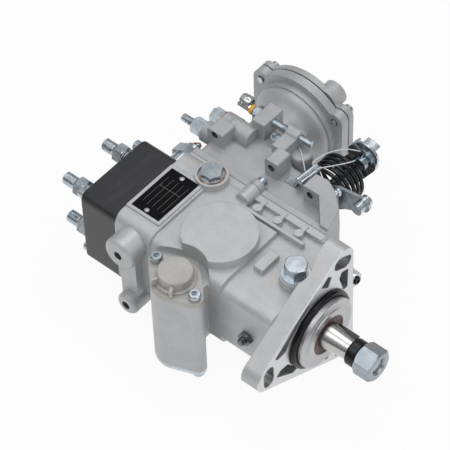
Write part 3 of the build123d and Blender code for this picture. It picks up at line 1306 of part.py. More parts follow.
with BuildPart() as copper_washers:
    for seat, direction, bore in COPPER_SEATS:
        with BuildSketch(Plane(origin=seat, z_dir=direction)) as ring:
            Circle(bore + 4.2)
            Circle(bore + RUN_GAP, mode=Mode.SUBTRACT)
        extrude(ring.sketch, amount=COPPER_T)
copper_washers.part.label = "copper_washers"
export_step(copper_washers.part, "parts/copper_washers.step")

with BuildPart() as rear_plug:
    seat = (REAR_PLUG_SEAT_X - COPPER_T, REAR_PLUG_Y, REAR_PLUG_Z)
    turned(
        spindle(seat, (-1, 0, 0)),
        [(-10, REAR_PLUG_THREAD_R), (0, REAR_PLUG_THREAD_R), (0, 8.8), (1.5, 8.8)],
    )
    hex_bar((REAR_PLUG_SEAT_X - COPPER_T - 1.5, REAR_PLUG_Y, REAR_PLUG_Z), (-1, 0, 0), 14, 11)
rear_plug.part.label = "rear_plug"
export_step(rear_plug.part, "parts/rear_plug.step")

# Full-speed stop screw with its nut, band and knurled cap
with BuildPart() as stop_screw:
    rod((STOP_CAP_X + 3, STOP_Y, STOP_Z), (1, 0, 0), STOP_R, STOP_END_X - STOP_CAP_X - 3)
stop_screw.part.label = "stop_screw"
export_step(stop_screw.part, "parts/stop_screw.step")

with BuildPart() as stop_nut:
    hex_bar((STOP_LUG_X, STOP_Y, STOP_Z), (-1, 0, 0), 13, 6)
    rod((STOP_LUG_X, STOP_Y, STOP_Z), (-1, 0, 0), STOP_R + RUN_GAP, 6, Mode.SUBTRACT)
stop_nut.part.label = "stop_nut"
export_step(stop_nut.part, "parts/stop_nut.step")

with BuildPart() as stop_cap:
    rod((STOP_CAP_X, STOP_Y, STOP_Z), (1, 0, 0), 7.5, 10)
    rod((STOP_CAP_X + 10, STOP_Y, STOP_Z), (1, 0, 0), 6.2, 4)
    rod((STOP_CAP_X + 2.9, STOP_Y, STOP_Z), (1, 0, 0), STOP_R + RUN_GAP, 12, Mode.SUBTRACT)
stop_cap.part.label = "stop_cap"
export_step(stop_cap.part, "parts/stop_cap.step")

# Control lever on its shaft, with the lower plate and the return spring
with BuildPart() as lever_shaft:
    shaft_low = (LEVER_X, GOVERNOR_SPRING_Y - 4, LEVER_Z)
    rod(shaft_low, (0, 1, 0), LEVER_SHAFT_R, TOP_LEVER_Y + LEVER_PLATE_T - GOVERNOR_SPRING_Y + 12)
    block(
        (LEVER_X - 11, GOVERNOR_SPRING_Y - 3, GOVERNOR_SPRING_Z - 3),
        (LEVER_X, GOVERNOR_SPRING_Y + 3, LEVER_Z),
    )
    hex_bar((LEVER_X, TOP_LEVER_Y + LEVER_PLATE_T, LEVER_Z), (0, 1, 0), 15, 5.5)
lever_shaft.part.label = "lever_shaft"
export_step(lever_shaft.part, "parts/lever_shaft.step")

with BuildPart() as top_lever:
    with BuildSketch(across_y(TOP_LEVER_Y + LEVER_PLATE_T)):
        with Locations((LEVER_X, LEVER_Z)):
            Circle(TOP_LEVER_HUB_R)
        with Locations(TOP_STUD):
            Circle(TOP_LEVER_END_R)
        make_hull()
        with Locations((LEVER_X, LEVER_Z)):
            Circle(LEVER_SHAFT_R, mode=Mode.SUBTRACT)
    extrude(amount=LEVER_PLATE_T)
    stud = [
        (-6, 3),
        (-6, 6.2),
        (-2, 6.2),
        (-2, 4),
        (LEVER_PLATE_T, 4),
        (LEVER_PLATE_T, 6),
        (LEVER_PLATE_T + 4, 6),
    ]
    turned(spindle((TOP_STUD[0], TOP_LEVER_Y, TOP_STUD[1]), (0, 1, 0)), stud)
top_lever.part.label = "top_lever"
export_step(top_lever.part, "parts/top_lever.step")

with BuildPart() as low_lever:
    with BuildSketch(across_y(LOW_LEVER_Y + LEVER_PLATE_T)):
        with Locations((LEVER_X, LEVER_Z)):
            Circle(15)
        with Locations(LOW_STUD):
            Circle(8)
        make_hull()
        with Locations((LEVER_X, LEVER_Z)):
            Circle(LEVER_SHAFT_R + FREE_GAP, mode=Mode.SUBTRACT)
    extrude(amount=LEVER_PLATE_T)
    stud = [
        (-8, 3),
        (-8, 5.5),
        (0, 5.5),
        (0, 3.5),
        (LEVER_PLATE_T, 3.5),
        (LEVER_PLATE_T, 5.5),
        (LEVER_PLATE_T + 5, 5.5),
    ]
    turned(spindle((LOW_STUD[0], LOW_LEVER_Y, LOW_STUD[1]), (0, 1, 0)), stud)
low_lever.part.label = "low_lever"
export_step(low_lever.part, "parts/low_lever.step")

with BuildPart() as return_spring:
    coil(
        (LEVER_X, SPRING_START_Y, LEVER_Z),
        (0, 1, 0),
        SPRING_R,
        SPRING_WIRE_R,
        SPRING_TURNS,
        SPRING_END_Y - SPRING_START_Y,
    )
return_spring.part.label = "return_spring"
export_step(return_spring.part, "parts/return_spring.step")

# Boost compensator: diaphragm, pin, spring, lid and screws
LID_Y = BOOST_FLANGE_Y + BOOST_FLANGE_T + DIAPHRAGM_T
with BuildPart() as boost_diaphragm:
    extrude(boost_outline(across_y(LID_Y), -0.8), amount=DIAPHRAGM_T)
    for x, z in BOOST_SCREWS:
        rod((x, LID_Y - DIAPHRAGM_T, z), (0, 1, 0), BOOST_SCREW_R + SEAT_GAP, DIAPHRAGM_T, Mode.SUBTRACT)
boost_diaphragm.part.label = "boost_diaphragm"
export_step(boost_diaphragm.part, "parts/boost_diaphragm.step")

with BuildPart() as boost_lid:
    extrude(boost_outline(across_y(LID_Y)), amount=-BOOST_LID_T)
    dome = [
        (LID_Y, 41),
        (LID_Y + BOOST_LID_T + 1, 41),
        (LID_Y + BOOST_LID_T + 5, 37),
        (LID_Y + BOOST_LID_T + 6.5, 31),
    ]
    turned(spindle((BOOST_X, 0, BOOST_Z), (0, 1, 0)), dome)
    port = (BOOST_X + BOOST_PORT_DX, LID_Y, BOOST_Z + BOOST_PORT_DZ)
    rod(port, (0, 1, 0), BOOST_PORT_R, BOOST_LID_T + 10)
    rod((BOOST_X, LID_Y, BOOST_Z), (0, 1, 0), BOOST_CHAMBER_R, BOOST_LID_T, Mode.SUBTRACT)
    rod((port[0], LID_Y + 4, port[2]), (0, 1, 0), 5, BOOST_LID_T + 6, Mode.SUBTRACT)
    for x, z in BOOST_SCREWS:
        rod((x, LID_Y, z), (0, 1, 0), BOOST_SCREW_R + SEAT_GAP, BOOST_LID_T, Mode.SUBTRACT)
boost_lid.part.label = "boost_lid"
export_step(boost_lid.part, "parts/boost_lid.step")

with BuildPart() as boost_screws:
    for x, z in BOOST_SCREWS:
        grip = BOOST_LID_T + DIAPHRAGM_T + BOOST_FLANGE_T + 2
        socket_screw((x, LID_Y + BOOST_LID_T, z), (0, 1, 0), BOOST_SCREW_R, grip, 5, 6)
boost_screws.part.label = "boost_screws"
export_step(boost_screws.part, "parts/boost_screws.step")

with BuildPart() as boost_pin:
    plate_y = BOOST_FLANGE_Y + BOOST_FLANGE_T - FREE_GAP
    stations = [(BOOST_PIN_END_Y, BOOST_PIN_R - 2), (BOOST_PIN_END_Y + 10, BOOST_PIN_R)]
    stations += [
        (plate_y - BOOST_PLATE_T, BOOST_PIN_R),
        (plate_y - BOOST_PLATE_T, BOOST_PLATE_R),
        (plate_y, BOOST_PLATE_R),
    ]
    turned(spindle((BOOST_X, 0, BOOST_Z), (0, 1, 0)), stations)
boost_pin.part.label = "boost_pin"
export_step(boost_pin.part, "parts/boost_pin.step")

with BuildPart() as boost_spring:
    start_y = BOOST_SEAT_Y + BOOST_SPRING_WIRE_R + SEAT_GAP
    end_y = BOOST_FLANGE_Y + BOOST_FLANGE_T - FREE_GAP - BOOST_PLATE_T - BOOST_SPRING_WIRE_R - SEAT_GAP
    coil((BOOST_X, start_y, BOOST_Z), (0, 1, 0), BOOST_SPRING_R, BOOST_SPRING_WIRE_R, 6, end_y - start_y)
boost_spring.part.label = "boost_spring"
export_step(boost_spring.part, "parts/boost_spring.step")
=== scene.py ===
"""Distributor injection pump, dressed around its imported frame.

The frame is in metres: +X runs along the drive shaft to its nut, +Y rises to the governor
cover and the boost compensator, and +Z comes out of the nameplate side. Sizes in the classes
are in millimetres, and those of the studio's lamps in metres.
"""
import json
import logging
from dataclasses import dataclass, field
from enum import Enum
from functools import cached_property, reduce
from math import cos, pi, radians, sin
from typing import Callable, Sequence, Union

import bmesh
import bpy
import numpy as np
from mathutils import Matrix, Vector

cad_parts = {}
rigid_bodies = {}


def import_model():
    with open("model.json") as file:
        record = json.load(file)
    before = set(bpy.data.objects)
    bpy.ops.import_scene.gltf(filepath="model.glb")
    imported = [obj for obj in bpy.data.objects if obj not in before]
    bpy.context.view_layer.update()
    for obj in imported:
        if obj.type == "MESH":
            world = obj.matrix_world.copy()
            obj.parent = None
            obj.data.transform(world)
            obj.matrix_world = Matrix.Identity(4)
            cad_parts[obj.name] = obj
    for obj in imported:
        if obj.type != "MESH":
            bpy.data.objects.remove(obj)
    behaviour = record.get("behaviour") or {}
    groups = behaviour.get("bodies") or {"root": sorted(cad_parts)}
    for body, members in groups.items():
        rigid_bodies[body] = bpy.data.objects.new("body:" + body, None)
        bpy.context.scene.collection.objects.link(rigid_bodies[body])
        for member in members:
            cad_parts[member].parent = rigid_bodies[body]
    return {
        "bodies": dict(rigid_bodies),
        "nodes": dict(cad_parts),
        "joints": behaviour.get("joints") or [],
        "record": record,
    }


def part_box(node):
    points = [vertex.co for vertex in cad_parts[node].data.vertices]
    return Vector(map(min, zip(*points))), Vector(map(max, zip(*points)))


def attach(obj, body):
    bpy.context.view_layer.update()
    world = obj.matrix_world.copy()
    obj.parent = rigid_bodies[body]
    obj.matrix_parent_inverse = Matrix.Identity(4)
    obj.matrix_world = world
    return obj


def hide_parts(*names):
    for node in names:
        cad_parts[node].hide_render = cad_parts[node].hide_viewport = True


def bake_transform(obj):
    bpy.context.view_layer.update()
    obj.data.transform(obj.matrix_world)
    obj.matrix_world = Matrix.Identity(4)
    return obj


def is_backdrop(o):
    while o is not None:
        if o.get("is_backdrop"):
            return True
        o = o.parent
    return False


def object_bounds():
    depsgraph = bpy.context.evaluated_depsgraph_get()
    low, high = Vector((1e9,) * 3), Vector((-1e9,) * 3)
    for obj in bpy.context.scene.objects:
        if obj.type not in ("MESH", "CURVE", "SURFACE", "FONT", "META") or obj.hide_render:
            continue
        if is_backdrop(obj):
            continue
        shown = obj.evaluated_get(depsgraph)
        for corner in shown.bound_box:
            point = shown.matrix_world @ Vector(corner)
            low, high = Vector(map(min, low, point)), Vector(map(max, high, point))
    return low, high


LOG = logging.getLogger("pump")
MM = 0.001
ORIGIN = (0.0, 0.0, 0.0)
Point = tuple[float, float, float]
Colour = tuple[float, float, float]
Profile = Sequence[tuple[float, float]]
Shape = Callable[[np.ndarray, np.ndarray, np.ndarray], np.ndarray]
Piece = bpy.types.Object
Material = bpy.types.Material
Socket = bpy.types.NodeSocket


class Body(Enum):
    """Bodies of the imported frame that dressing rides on."""

    PUMP = "pump"
    THROTTLE = "throttle"
    PISTON = "advance_piston"
    BOOST = "boost"
    ARM = "governor_arm"


# Shader graph


class Signal:
    """One number socket with arithmetic; each expression adds a Math node."""

    def __init__(self, graph: "Graph", socket: Socket) -> None:
        """Wrap a socket of a graph."""
        self.graph = graph
        self.socket = socket

    def _join(self, operation: str, first: object, second: object) -> "Signal":
        """Result of a Math node on two signals or numbers."""
        node = self.graph.node("ShaderNodeMath", {0: first, 1: second}, operation=operation)
        return Signal(self.graph, node.outputs[0])

    def __add__(self, other: object) -> "Signal":
        """Sum."""
        return self._join("ADD", self, other)

    def __sub__(self, other: object) -> "Signal":
        """Difference."""
        return self._join("SUBTRACT", self, other)

    def __rsub__(self, other: object) -> "Signal":
        """Difference, reflected."""
        return self._join("SUBTRACT", other, self)

    def __mul__(self, other: object) -> "Signal":
        """Product."""
        return self._join("MULTIPLY", self, other)

    # Sums and products are the same either way round.
    __radd__ = __add__
    __rmul__ = __mul__

    def highest(self, other: object) -> "Signal":
        """Larger of two."""
        return self._join("MAXIMUM", self, other)

    def above(self, limit: float) -> "Signal":
        """One where the signal is above the limit, else zero."""
        return self._join("GREATER_THAN", self, limit)

    def between(self, low_mm: float, high_mm: float) -> "Signal":
        """One where a coordinate lies between two planes given in mm, else zero."""
        return self.above(low_mm * MM) * (1.0 - self.above(high_mm * MM))

    def bearing(self, other: "Signal") -> "Signal":
        """Angle of the point (other, self) about the origin, in radians."""
        return self._join("ARCTAN2", self, other)

    def wave(self) -> "Signal":
        """Sine of the signal in radians, from 0 to 1."""
        return self._join("SINE", self, 0.0) * 0.5 + 0.5

    def distance(self) -> "Signal":
        """Absolute value."""
        return self._join("ABSOLUTE", self, 0.0)

    def eased(self, low: float, high: float) -> "Signal":
        """Smooth step from 0 to 1 as the signal goes from low to high."""
        inputs = {"Value": self, "From Min": low, "From Max": high}
        node = self.graph.node("ShaderNodeMapRange", inputs, interpolation_type="SMOOTHSTEP")
        return Signal(self.graph, node.outputs["Result"])


class Graph:
    """Node tree of one material, or of the world, with the helpers every finish uses."""

    def __init__(self, name: str, world: bool = False) -> None:
        """Make an empty tree with an output node."""
        self.owner = (bpy.data.worlds if world else bpy.data.materials).new(name)
        self.owner.use_nodes = True
        self.tree = self.owner.node_tree
        self.tree.nodes.clear()
        self.output = self.node("ShaderNodeOutputWorld" if world else "ShaderNodeOutputMaterial")

    @cached_property
    def place(self) -> Socket:
        """Object coordinates of the surface."""
        return self.node("ShaderNodeTexCoord").outputs["Object"]

    def node(
        self, kind: str, inputs: Union[dict, None] = None, **settings: object
    ) -> bpy.types.Node:
        """Add any node.

        Args:
            kind: the node's type name.
            inputs: socket name or number to a value, a Signal or a socket.
            settings: attributes set before the sockets; stops are a ramp's (position, colour).

        Returns:
            The new node.
        """
        made = self.tree.nodes.new(kind)
        stops = settings.pop("stops", ())
        for number, (position, colour) in enumerate(stops):
            element = made.color_ramp.elements[number]
            element.position, element.color = position, colour
        for key, value in settings.items():
            setattr(made, key, value)
        for key, value in (inputs or {}).items():
            if isinstance(value, Signal):
                value = value.socket
            if isinstance(value, Socket):
                self.tree.links.new(value, made.inputs[key])
            else:
                made.inputs[key].default_value = value
        return made

    def vector(self, operation: str, *inputs: object) -> bpy.types.Node:
        """Vector Math node on values or links."""
        return self.node("ShaderNodeVectorMath", dict(enumerate(inputs)), operation=operation)

    def noise(self, size_mm: float, detail: float = 2.0, stretch: Point = (1, 1, 1)) -> Signal:
        """Noise from 0 to 1 whose patches are about size_mm wide, stretched along the axes."""
        scale = tuple(1.0 / (size_mm * MM * s) for s in stretch)
        mapping = self.node("ShaderNodeMapping", {"Vector": self.place, "Scale": scale})
        inputs = {"Vector": mapping.outputs[0], "Scale": 1.0, "Detail": detail}
        return Signal(self, self.node("ShaderNodeTexNoise", inputs).outputs["Fac"])

    def axis(self, index: int) -> Signal:
        """Object coordinate along one axis, in metres."""
        split = self.node("ShaderNodeSeparateXYZ", {"Vector": self.place})
        return Signal(self, split.outputs[index])

    def radius(self, centre: Sequence[float], along: int) -> Signal:
        """Distance from an axis-parallel line through the centre, in metres."""
        moved = self.vector("SUBTRACT", self.place, tuple(centre))
        flat = self.vector("MULTIPLY", moved.outputs[0], tuple(float(n != along) for n in range(3)))
        return Signal(self, self.vector("LENGTH", flat.outputs[0]).outputs["Value"])

    def near(self, centre_mm: Sequence[float], along: int, radius_mm: float) -> Signal:
        """One within a radius of an axis-parallel line through a point given in mm, else zero."""
        centre = tuple(value * MM for value in centre_mm)
        return 1.0 - self.radius(centre, along).above(radius_mm * MM)

    def helix(self, centre_mm: Sequence[float], along: int, pitch_mm: float) -> Signal:
        """Thread height from 0 to 1: sine of the run along the axis less the angle round it."""
        first, second = (n for n in range(3) if n != along)
        across = self.axis(first) - centre_mm[first] * MM
        up = self.axis(second) - centre_mm[second] * MM
        return (self.axis(along) * (2 * pi / (pitch_mm * MM)) + up.bearing(across)).wave()

    def mixed(self, factor: Signal, first: object, second: object) -> Socket:
        """Colour from the first to the second, each a colour or a link, as the factor rises."""
        ends = [(*end, 1.0) if isinstance(end, tuple) else end for end in (first, second)]
        inputs = {"Factor": factor, 6: ends[0], 7: ends[1]}
        return self.node("ShaderNodeMix", inputs, data_type="RGBA").outputs[2]

    def bumped(self, height: Signal, depth_mm: float, under: Socket) -> Socket:
        """Normal of a relief that is depth_mm deep, over another normal."""
        inputs = {"Height": height, "Strength": 1.0, "Distance": depth_mm * MM, "Normal": under}
        return self.node("ShaderNodeBump", inputs).outputs["Normal"]

    def rounded(self, radius_mm: float) -> Socket:
        """Normal that rounds sharp edges by a radius."""
        return self.node("ShaderNodeBevel", {"Radius": radius_mm * MM}, samples=4).outputs["Normal"]

    def close(self, shader: bpy.types.Node) -> Material:
        """Lead a shader to the output."""
        self.tree.links.new(shader.outputs[0], self.output.inputs["Surface"])
        return self.owner

    def finish(self, **sockets: object) -> Material:
        """Close the tree with a Principled shader whose sockets are given by name."""
        inputs = {key.replace("_", " "): value for key, value in sockets.items()}
        return self.close(self.node("ShaderNodeBsdfPrincipled", inputs))


# Finishes


@dataclass(frozen=True)
class Skin:
    """Colour, roughness and relief of a surface before other zones are laid over it."""

    colour: Socket
    rough: Signal
    relief: Signal


@dataclass(frozen=True)
class CastAlloy:
    """Blasted die-cast aluminium: fine even grain, faint mottling and soft edges."""

    name: str
    light: Colour = (0.60, 0.605, 0.61)
    dark: Colour = (0.53, 0.535, 0.54)
    metal: float = 0.35
    roughness: float = 0.44
    edge: float = 0.9
    grain: float = 0.55
    grain_depth: float = 0.05

    def skin(self, graph: Graph) -> Skin:
        """Lay the cast surface into a graph."""
        grain = graph.noise(self.grain, 3.0)
        cloud = graph.noise(17.0)
        flow = graph.noise(3.2)
        tint = graph.mixed((cloud * 0.6 + flow * 0.4).eased(0.30, 0.70), self.dark, self.light)
        colour = graph.mixed(grain.eased(0.56, 0.78) * 0.30, tint, self.dark)
        rough = grain * 0.10 + (self.roughness - 0.05) + flow * 0.06
        return Skin(colour, rough, grain * 0.45 + flow * 0.55)

    def relief(self, graph: Graph, height: Signal) -> Socket:
        """Normal of the grain over the soft edges."""
        return graph.bumped(height, self.grain_depth, graph.rounded(self.edge))

    def material(self) -> Material:
        """Build the material."""
        graph = Graph(self.name)
        skin = self.skin(graph)
        normal = self.relief(graph, skin.relief)
        return graph.finish(
            Base_Color=skin.colour, Metallic=self.metal, Roughness=skin.rough, Normal=normal
        )


@dataclass(frozen=True)
class HousingAlloy:
    """Pump housing: cast walls, milled flange face, turned pilot and nose, cored pockets.

    Zones are cut out by position. The milled face is everything ahead of the relief, the pockets
    lie inside the flange's triangle, and each slot or tapped hole lies within a radius of its axis.
    The pockets and the tapped holes are coloured darker as painted shade.
    """

    name: str
    cast: CastAlloy
    face_x: float = -0.75
    turned_x: float = 0.3
    slot_turns: tuple = (61.0, 181.0, 301.0)
    slot_spread: float = 65.5
    slot_radius: float = 12.4
    slot_half: float = 6.7
    slot_back: float = -17.6
    pocket_turns: tuple = (121.0, 241.0, 1.0)
    pocket_reach: float = 45.8
    pocket_ring: tuple = (36.0, 59.2)
    pocket_back: float = -9.4
    bores: tuple = ((-170.0, 0.0, 23.5), (-167.0, 0.0, -43.5))
    bore_radius: float = 4.3
    bore_span: tuple = (-62.2, -45.0)
    thread_pitch: float = 1.25
    ring_pitch: float = 0.8

    def slots(self, graph: Graph) -> Signal:
        """Mask of the three slot walls, a third of a turn apart."""
        spread = self.slot_spread
        centres = [(0.0, spread * cos(a), spread * sin(a)) for a in map(radians, self.slot_turns)]
        ends = reduce(Signal.highest, [graph.near(c, 0, self.slot_radius) for c in centres])
        ring = (graph.radius(ORIGIN, 0) - spread * MM).distance().above(self.slot_half * MM)
        return ends * (1.0 - ring) * graph.axis(0).between(self.slot_back, self.face_x)

    def pockets(self, graph: Graph) -> Signal:
        """Mask of the cored pockets between the flange's ribs, coloured darker as painted shade."""
        sides = [
            graph.axis(1) * cos(turn) + graph.axis(2) * sin(turn)
            for turn in map(radians, self.pocket_turns)
        ]
        inside = 1.0 - reduce(Signal.highest, sides).above(self.pocket_reach * MM)
        ring = graph.radius(ORIGIN, 0).between(*self.pocket_ring)
        return inside * ring * graph.axis(0).between(self.pocket_back, self.face_x)

    def holes(self, graph: Graph) -> Signal:
        """Mask of the tapped holes under the housing, whose walls are coloured darker as painted
        shade.
        """
        span = graph.axis(1).between(*self.bore_span)
        return reduce(
            Signal.highest, [graph.near(bore, 1, self.bore_radius) * span for bore in self.bores]
        )

    def material(self) -> Material:
        """Build the material."""
        graph = Graph(self.name)
        skin = self.cast.skin(graph)
        milled = graph.axis(0).above(self.face_x * MM)
        turned = graph.axis(0).above(self.turned_x * MM)
        slots, pockets, holes = self.slots(graph), self.pockets(graph), self.holes(graph)
        rings = graph.noise(0.5, 1.0, (1.0, 60.0, 60.0))
        faces = (graph.radius(ORIGIN, 0) * (2 * pi / (self.ring_pitch * MM))).wave()
        mill = graph.noise(1.2, 1.0, (30.0, 1.0, 6.0))
        colour = graph.mixed(milled, skin.colour, (0.66, 0.665, 0.68))
        bright = graph.mixed(rings * 0.6 + faces * 0.4, (0.40, 0.40, 0.41), (0.60, 0.60, 0.61))
        colour = graph.mixed(turned, colour, bright)
        colour = graph.mixed(slots, colour, (0.62, 0.62, 0.62))
        # Painted shade: the pockets are coloured darker for the shade inside them.
        colour = graph.mixed(pockets, colour, (0.36, 0.365, 0.365))
        # Painted shade: the tapped holes' walls are coloured darker for the shade inside them.
        colour = graph.mixed(holes, colour, (0.16, 0.155, 0.15))
        shiny = milled.highest(slots).highest(holes)
        metal = shiny * 0.5 + self.cast.metal
        rough = skin.rough - shiny * 0.16 + mill * milled * 0.05 + pockets * 0.08
        thread = graph.helix(self.bores[0], 1, self.thread_pitch) * holes
        relief = self.cast.relief(graph, skin.relief * (1.0 - shiny.highest(turned)))
        relief = graph.bumped(faces * turned, 0.010, relief)
        normal = graph.bumped(thread, 0.5, relief)
        return graph.finish(Base_Color=colour, Metallic=metal, Roughness=rough, Normal=normal)


@dataclass(frozen=True)
class CoverAlloy:
    """Governor cover: cast walls with three tapped holes in its bosses and four in its ears.

    The holes' walls, and a ring round the screw in each ear, are coloured darker as painted shade.
    """

    name: str
    cast: CastAlloy
    holes: tuple = ((-182.0, 79.6, 96.5), (-119.0, 81.1, 92.0), (-73.5, 78.1, 98.0))
    hole_z: float = 47.0
    hole_radius: float = 3.45
    ears: tuple = ((-200.0, 37.0), (-116.0, 37.0), (-200.0, -17.0), (-116.0, -17.0))
    ear_span: tuple = (164.5, 165.4)
    ear_radius: float = 3.9
    tip_radius: float = 2.3
    thread_pitch: float = 1.25

    def material(self) -> Material:
        """Build the material."""
        graph = Graph(self.name)
        skin = self.cast.skin(graph)
        up = graph.axis(1)
        # Painted shade: the wall of each tapped hole in the bosses is darkened.
        shade_masks = [
            graph.near((x, 0.0, self.hole_z), 1, self.hole_radius) * up.between(low, high)
            for x, low, high in self.holes
        ]
        # Painted shade: a dark ring round each ear screw, lighter over its tip.
        for x, z in self.ears:
            ear = graph.near((x, 0.0, z), 1, self.ear_radius) * up.between(*self.ear_span)
            shade_masks.append(ear * (1.0 - graph.near((x, 0.0, z), 1, self.tip_radius) * 0.7))
        # Every mask here darkens the colour below as painted shade.
        holes = reduce(Signal.highest, shade_masks)
        thread = graph.helix((self.holes[1][0], 0.0, self.hole_z), 1, self.thread_pitch) * holes
        relief = self.cast.relief(graph, skin.relief * (1.0 - holes))
        return graph.finish(
            Base_Color=graph.mixed(holes, skin.colour, (0.14, 0.135, 0.13)),
            Metallic=holes * 0.5 + self.cast.metal,
            Roughness=skin.rough - holes * 0.15,
            Normal=graph.bumped(thread, 0.4, relief),
        )


@dataclass(frozen=True)
class PlatedSteel:
    """Zinc-plated steel with a faint blue and straw passivation."""

    name: str
    light: Colour = (0.60, 0.65, 0.69)
    tint: Colour = (0.46, 0.52, 0.57)
    straw: Colour = (0.56, 0.54, 0.48)
    roughness: float = 0.19
    edge: float = 0.35

    def material(self) -> Material:
        """Build the material."""
        graph = Graph(self.name)
        cloud = graph.noise(7.0, 1.0)
        drift = graph.noise(10.0, 1.0)
        scratch = graph.noise(0.6, 1.0, (1.0, 5.0, 5.0))
        base = graph.mixed(cloud.eased(0.30, 0.70), self.tint, self.light)
        colour = graph.mixed(drift.eased(0.55, 0.75) * 0.35, base, self.straw)
        normal = graph.bumped(scratch, 0.003, graph.rounded(self.edge))
        rough = scratch * 0.06 + (self.roughness - 0.03) + cloud * 0.08
        return graph.finish(Base_Color=colour, Metallic=1.0, Roughness=rough, Normal=normal)


@dataclass(frozen=True)
class TurnedSteel:
    """Machined steel with faint lathe rings round the drive shaft's axis."""

    name: str
    light: Colour = (0.58, 0.57, 0.56)
    dark: Colour = (0.48, 0.47, 0.47)
    roughness: float = 0.20
    ring: float = 0.5
    ring_depth: float = 0.0015
    face_pitch: float = 0.6
    edge: float = 0.3

    def material(self) -> Material:
        """Build the material."""
        graph = Graph(self.name)
        rings = graph.noise(self.ring, 1.0, (1.0, 60.0, 60.0))
        cloud = graph.noise(9.0, 1.0)
        faces = (graph.radius(ORIGIN, 0) * (2 * pi / (self.face_pitch * MM))).wave()
        colour = graph.mixed(cloud * 0.4 + rings * 0.6, self.dark, self.light)
        height = rings * 0.8 + faces * 0.2
        normal = graph.bumped(height, self.ring_depth, graph.rounded(self.edge))
        rough = rings * 0.08 + (self.roughness - 0.04) + cloud * 0.05
        return graph.finish(Base_Color=colour, Metallic=1.0, Roughness=rough, Normal=normal)


@dataclass(frozen=True)
class Painted:
    """Paint or black coating over metal, with long faint streaks along Y and a fine peel."""

    name: str
    colour: Colour
    worn: Colour
    roughness: float = 0.35
    coat: float = 0.2
    edge: float = 0.9
    peel: float = 0.9
    peel_depth: float = 0.012

    def material(self) -> Material:
        """Build the material."""
        graph = Graph(self.name)
        peel = graph.noise(self.peel)
        wear = graph.noise(7.0, 2.0, (1.0, 6.0, 1.0)).eased(0.40, 0.75)
        return graph.finish(
            Base_Color=graph.mixed(wear * 0.7 + peel * 0.2, self.colour, self.worn),
            Metallic=0.0,
            Roughness=peel * 0.08 + (self.roughness - 0.04) + wear * 0.06,
            Normal=graph.bumped(peel, self.peel_depth, graph.rounded(self.edge)),
            Coat_Weight=self.coat,
        )


@dataclass(frozen=True)
class Soft:
    """Rubber, fibre or plastic with a fine dusty grain."""

    name: str
    colour: Colour
    dusty: Colour
    roughness: float
    grain: float = 0.6
    grain_depth: float = 0.03
    specular: float = 0.5
    edge: float = 0.3

    def material(self) -> Material:
        """Build the material."""
        graph = Graph(self.name)
        grain = graph.noise(self.grain, 3.0)
        dust = graph.noise(7.0, 3.0)
        return graph.finish(
            Base_Color=graph.mixed(dust.eased(0.45, 0.75), self.colour, self.dusty),
            Roughness=dust * 0.12 + (self.roughness - 0.06),
            Normal=graph.bumped(grain, self.grain_depth, graph.rounded(self.edge)),
            Specular_IOR_Level=self.specular,
        )


@dataclass(frozen=True)
class Sheen:
    """Polished or plated metal with few marks: copper, brass, chrome, lead."""

    name: str
    light: Colour
    dark: Colour
    roughness: float = 0.2
    edge: float = 0.2

    def material(self) -> Material:
        """Build the material."""
        graph = Graph(self.name)
        cloud = graph.noise(5.0)
        colour = graph.mixed(cloud.eased(0.30, 0.75), self.light, self.dark)
        normal = graph.bumped(graph.noise(0.7, 1.0), 0.003, graph.rounded(self.edge))
        rough = cloud * 0.08 + (self.roughness - 0.03)
        return graph.finish(Base_Color=colour, Metallic=1.0, Roughness=rough, Normal=normal)


@dataclass(frozen=True)
class BlankPlate:
    """Black nameplate with plain ruled fields and nothing written in them."""

    name: str
    centre: tuple = (-171.0, 2.0)
    half: tuple = (15.5, 26.5)
    columns: int = 5
    margins: tuple = (0.74, 0.66)
    split: float = 0.22
    ink: float = 0.30

    def material(self) -> Material:
        """Build the material: thin grey rules along the plate at even steps."""
        graph = Graph(self.name)
        across, down = (
            (graph.axis(n) - self.centre[n] * MM) * (1.0 / (self.half[n] * MM)) for n in (0, 1)
        )
        step = {0: across * (self.columns / 1.8), 1: 0.5}
        cell = graph.node("ShaderNodeMath", step, operation="PINGPONG")
        rules = 1.0 - Signal(graph, cell.outputs[0]).eased(0.018, 0.038)
        inner = 1.0 - across.distance().above(self.margins[0])
        inner = inner * (1.0 - down.distance().above(self.margins[1]))
        split = 1.0 - (down - self.split).distance().eased(0.004, 0.011)
        silver = (rules.highest(split) * inner) * self.ink
        return graph.finish(
            Base_Color=graph.mixed(silver, (0.006, 0.006, 0.007), (0.62, 0.62, 0.62)),
            Metallic=silver,
            Roughness=graph.noise(9.0) * 0.10 + 0.34,
            Normal=graph.bumped(graph.noise(0.5), 0.003, graph.rounded(0.2)),
            Specular_IOR_Level=0.06,
        )


# Surfaces


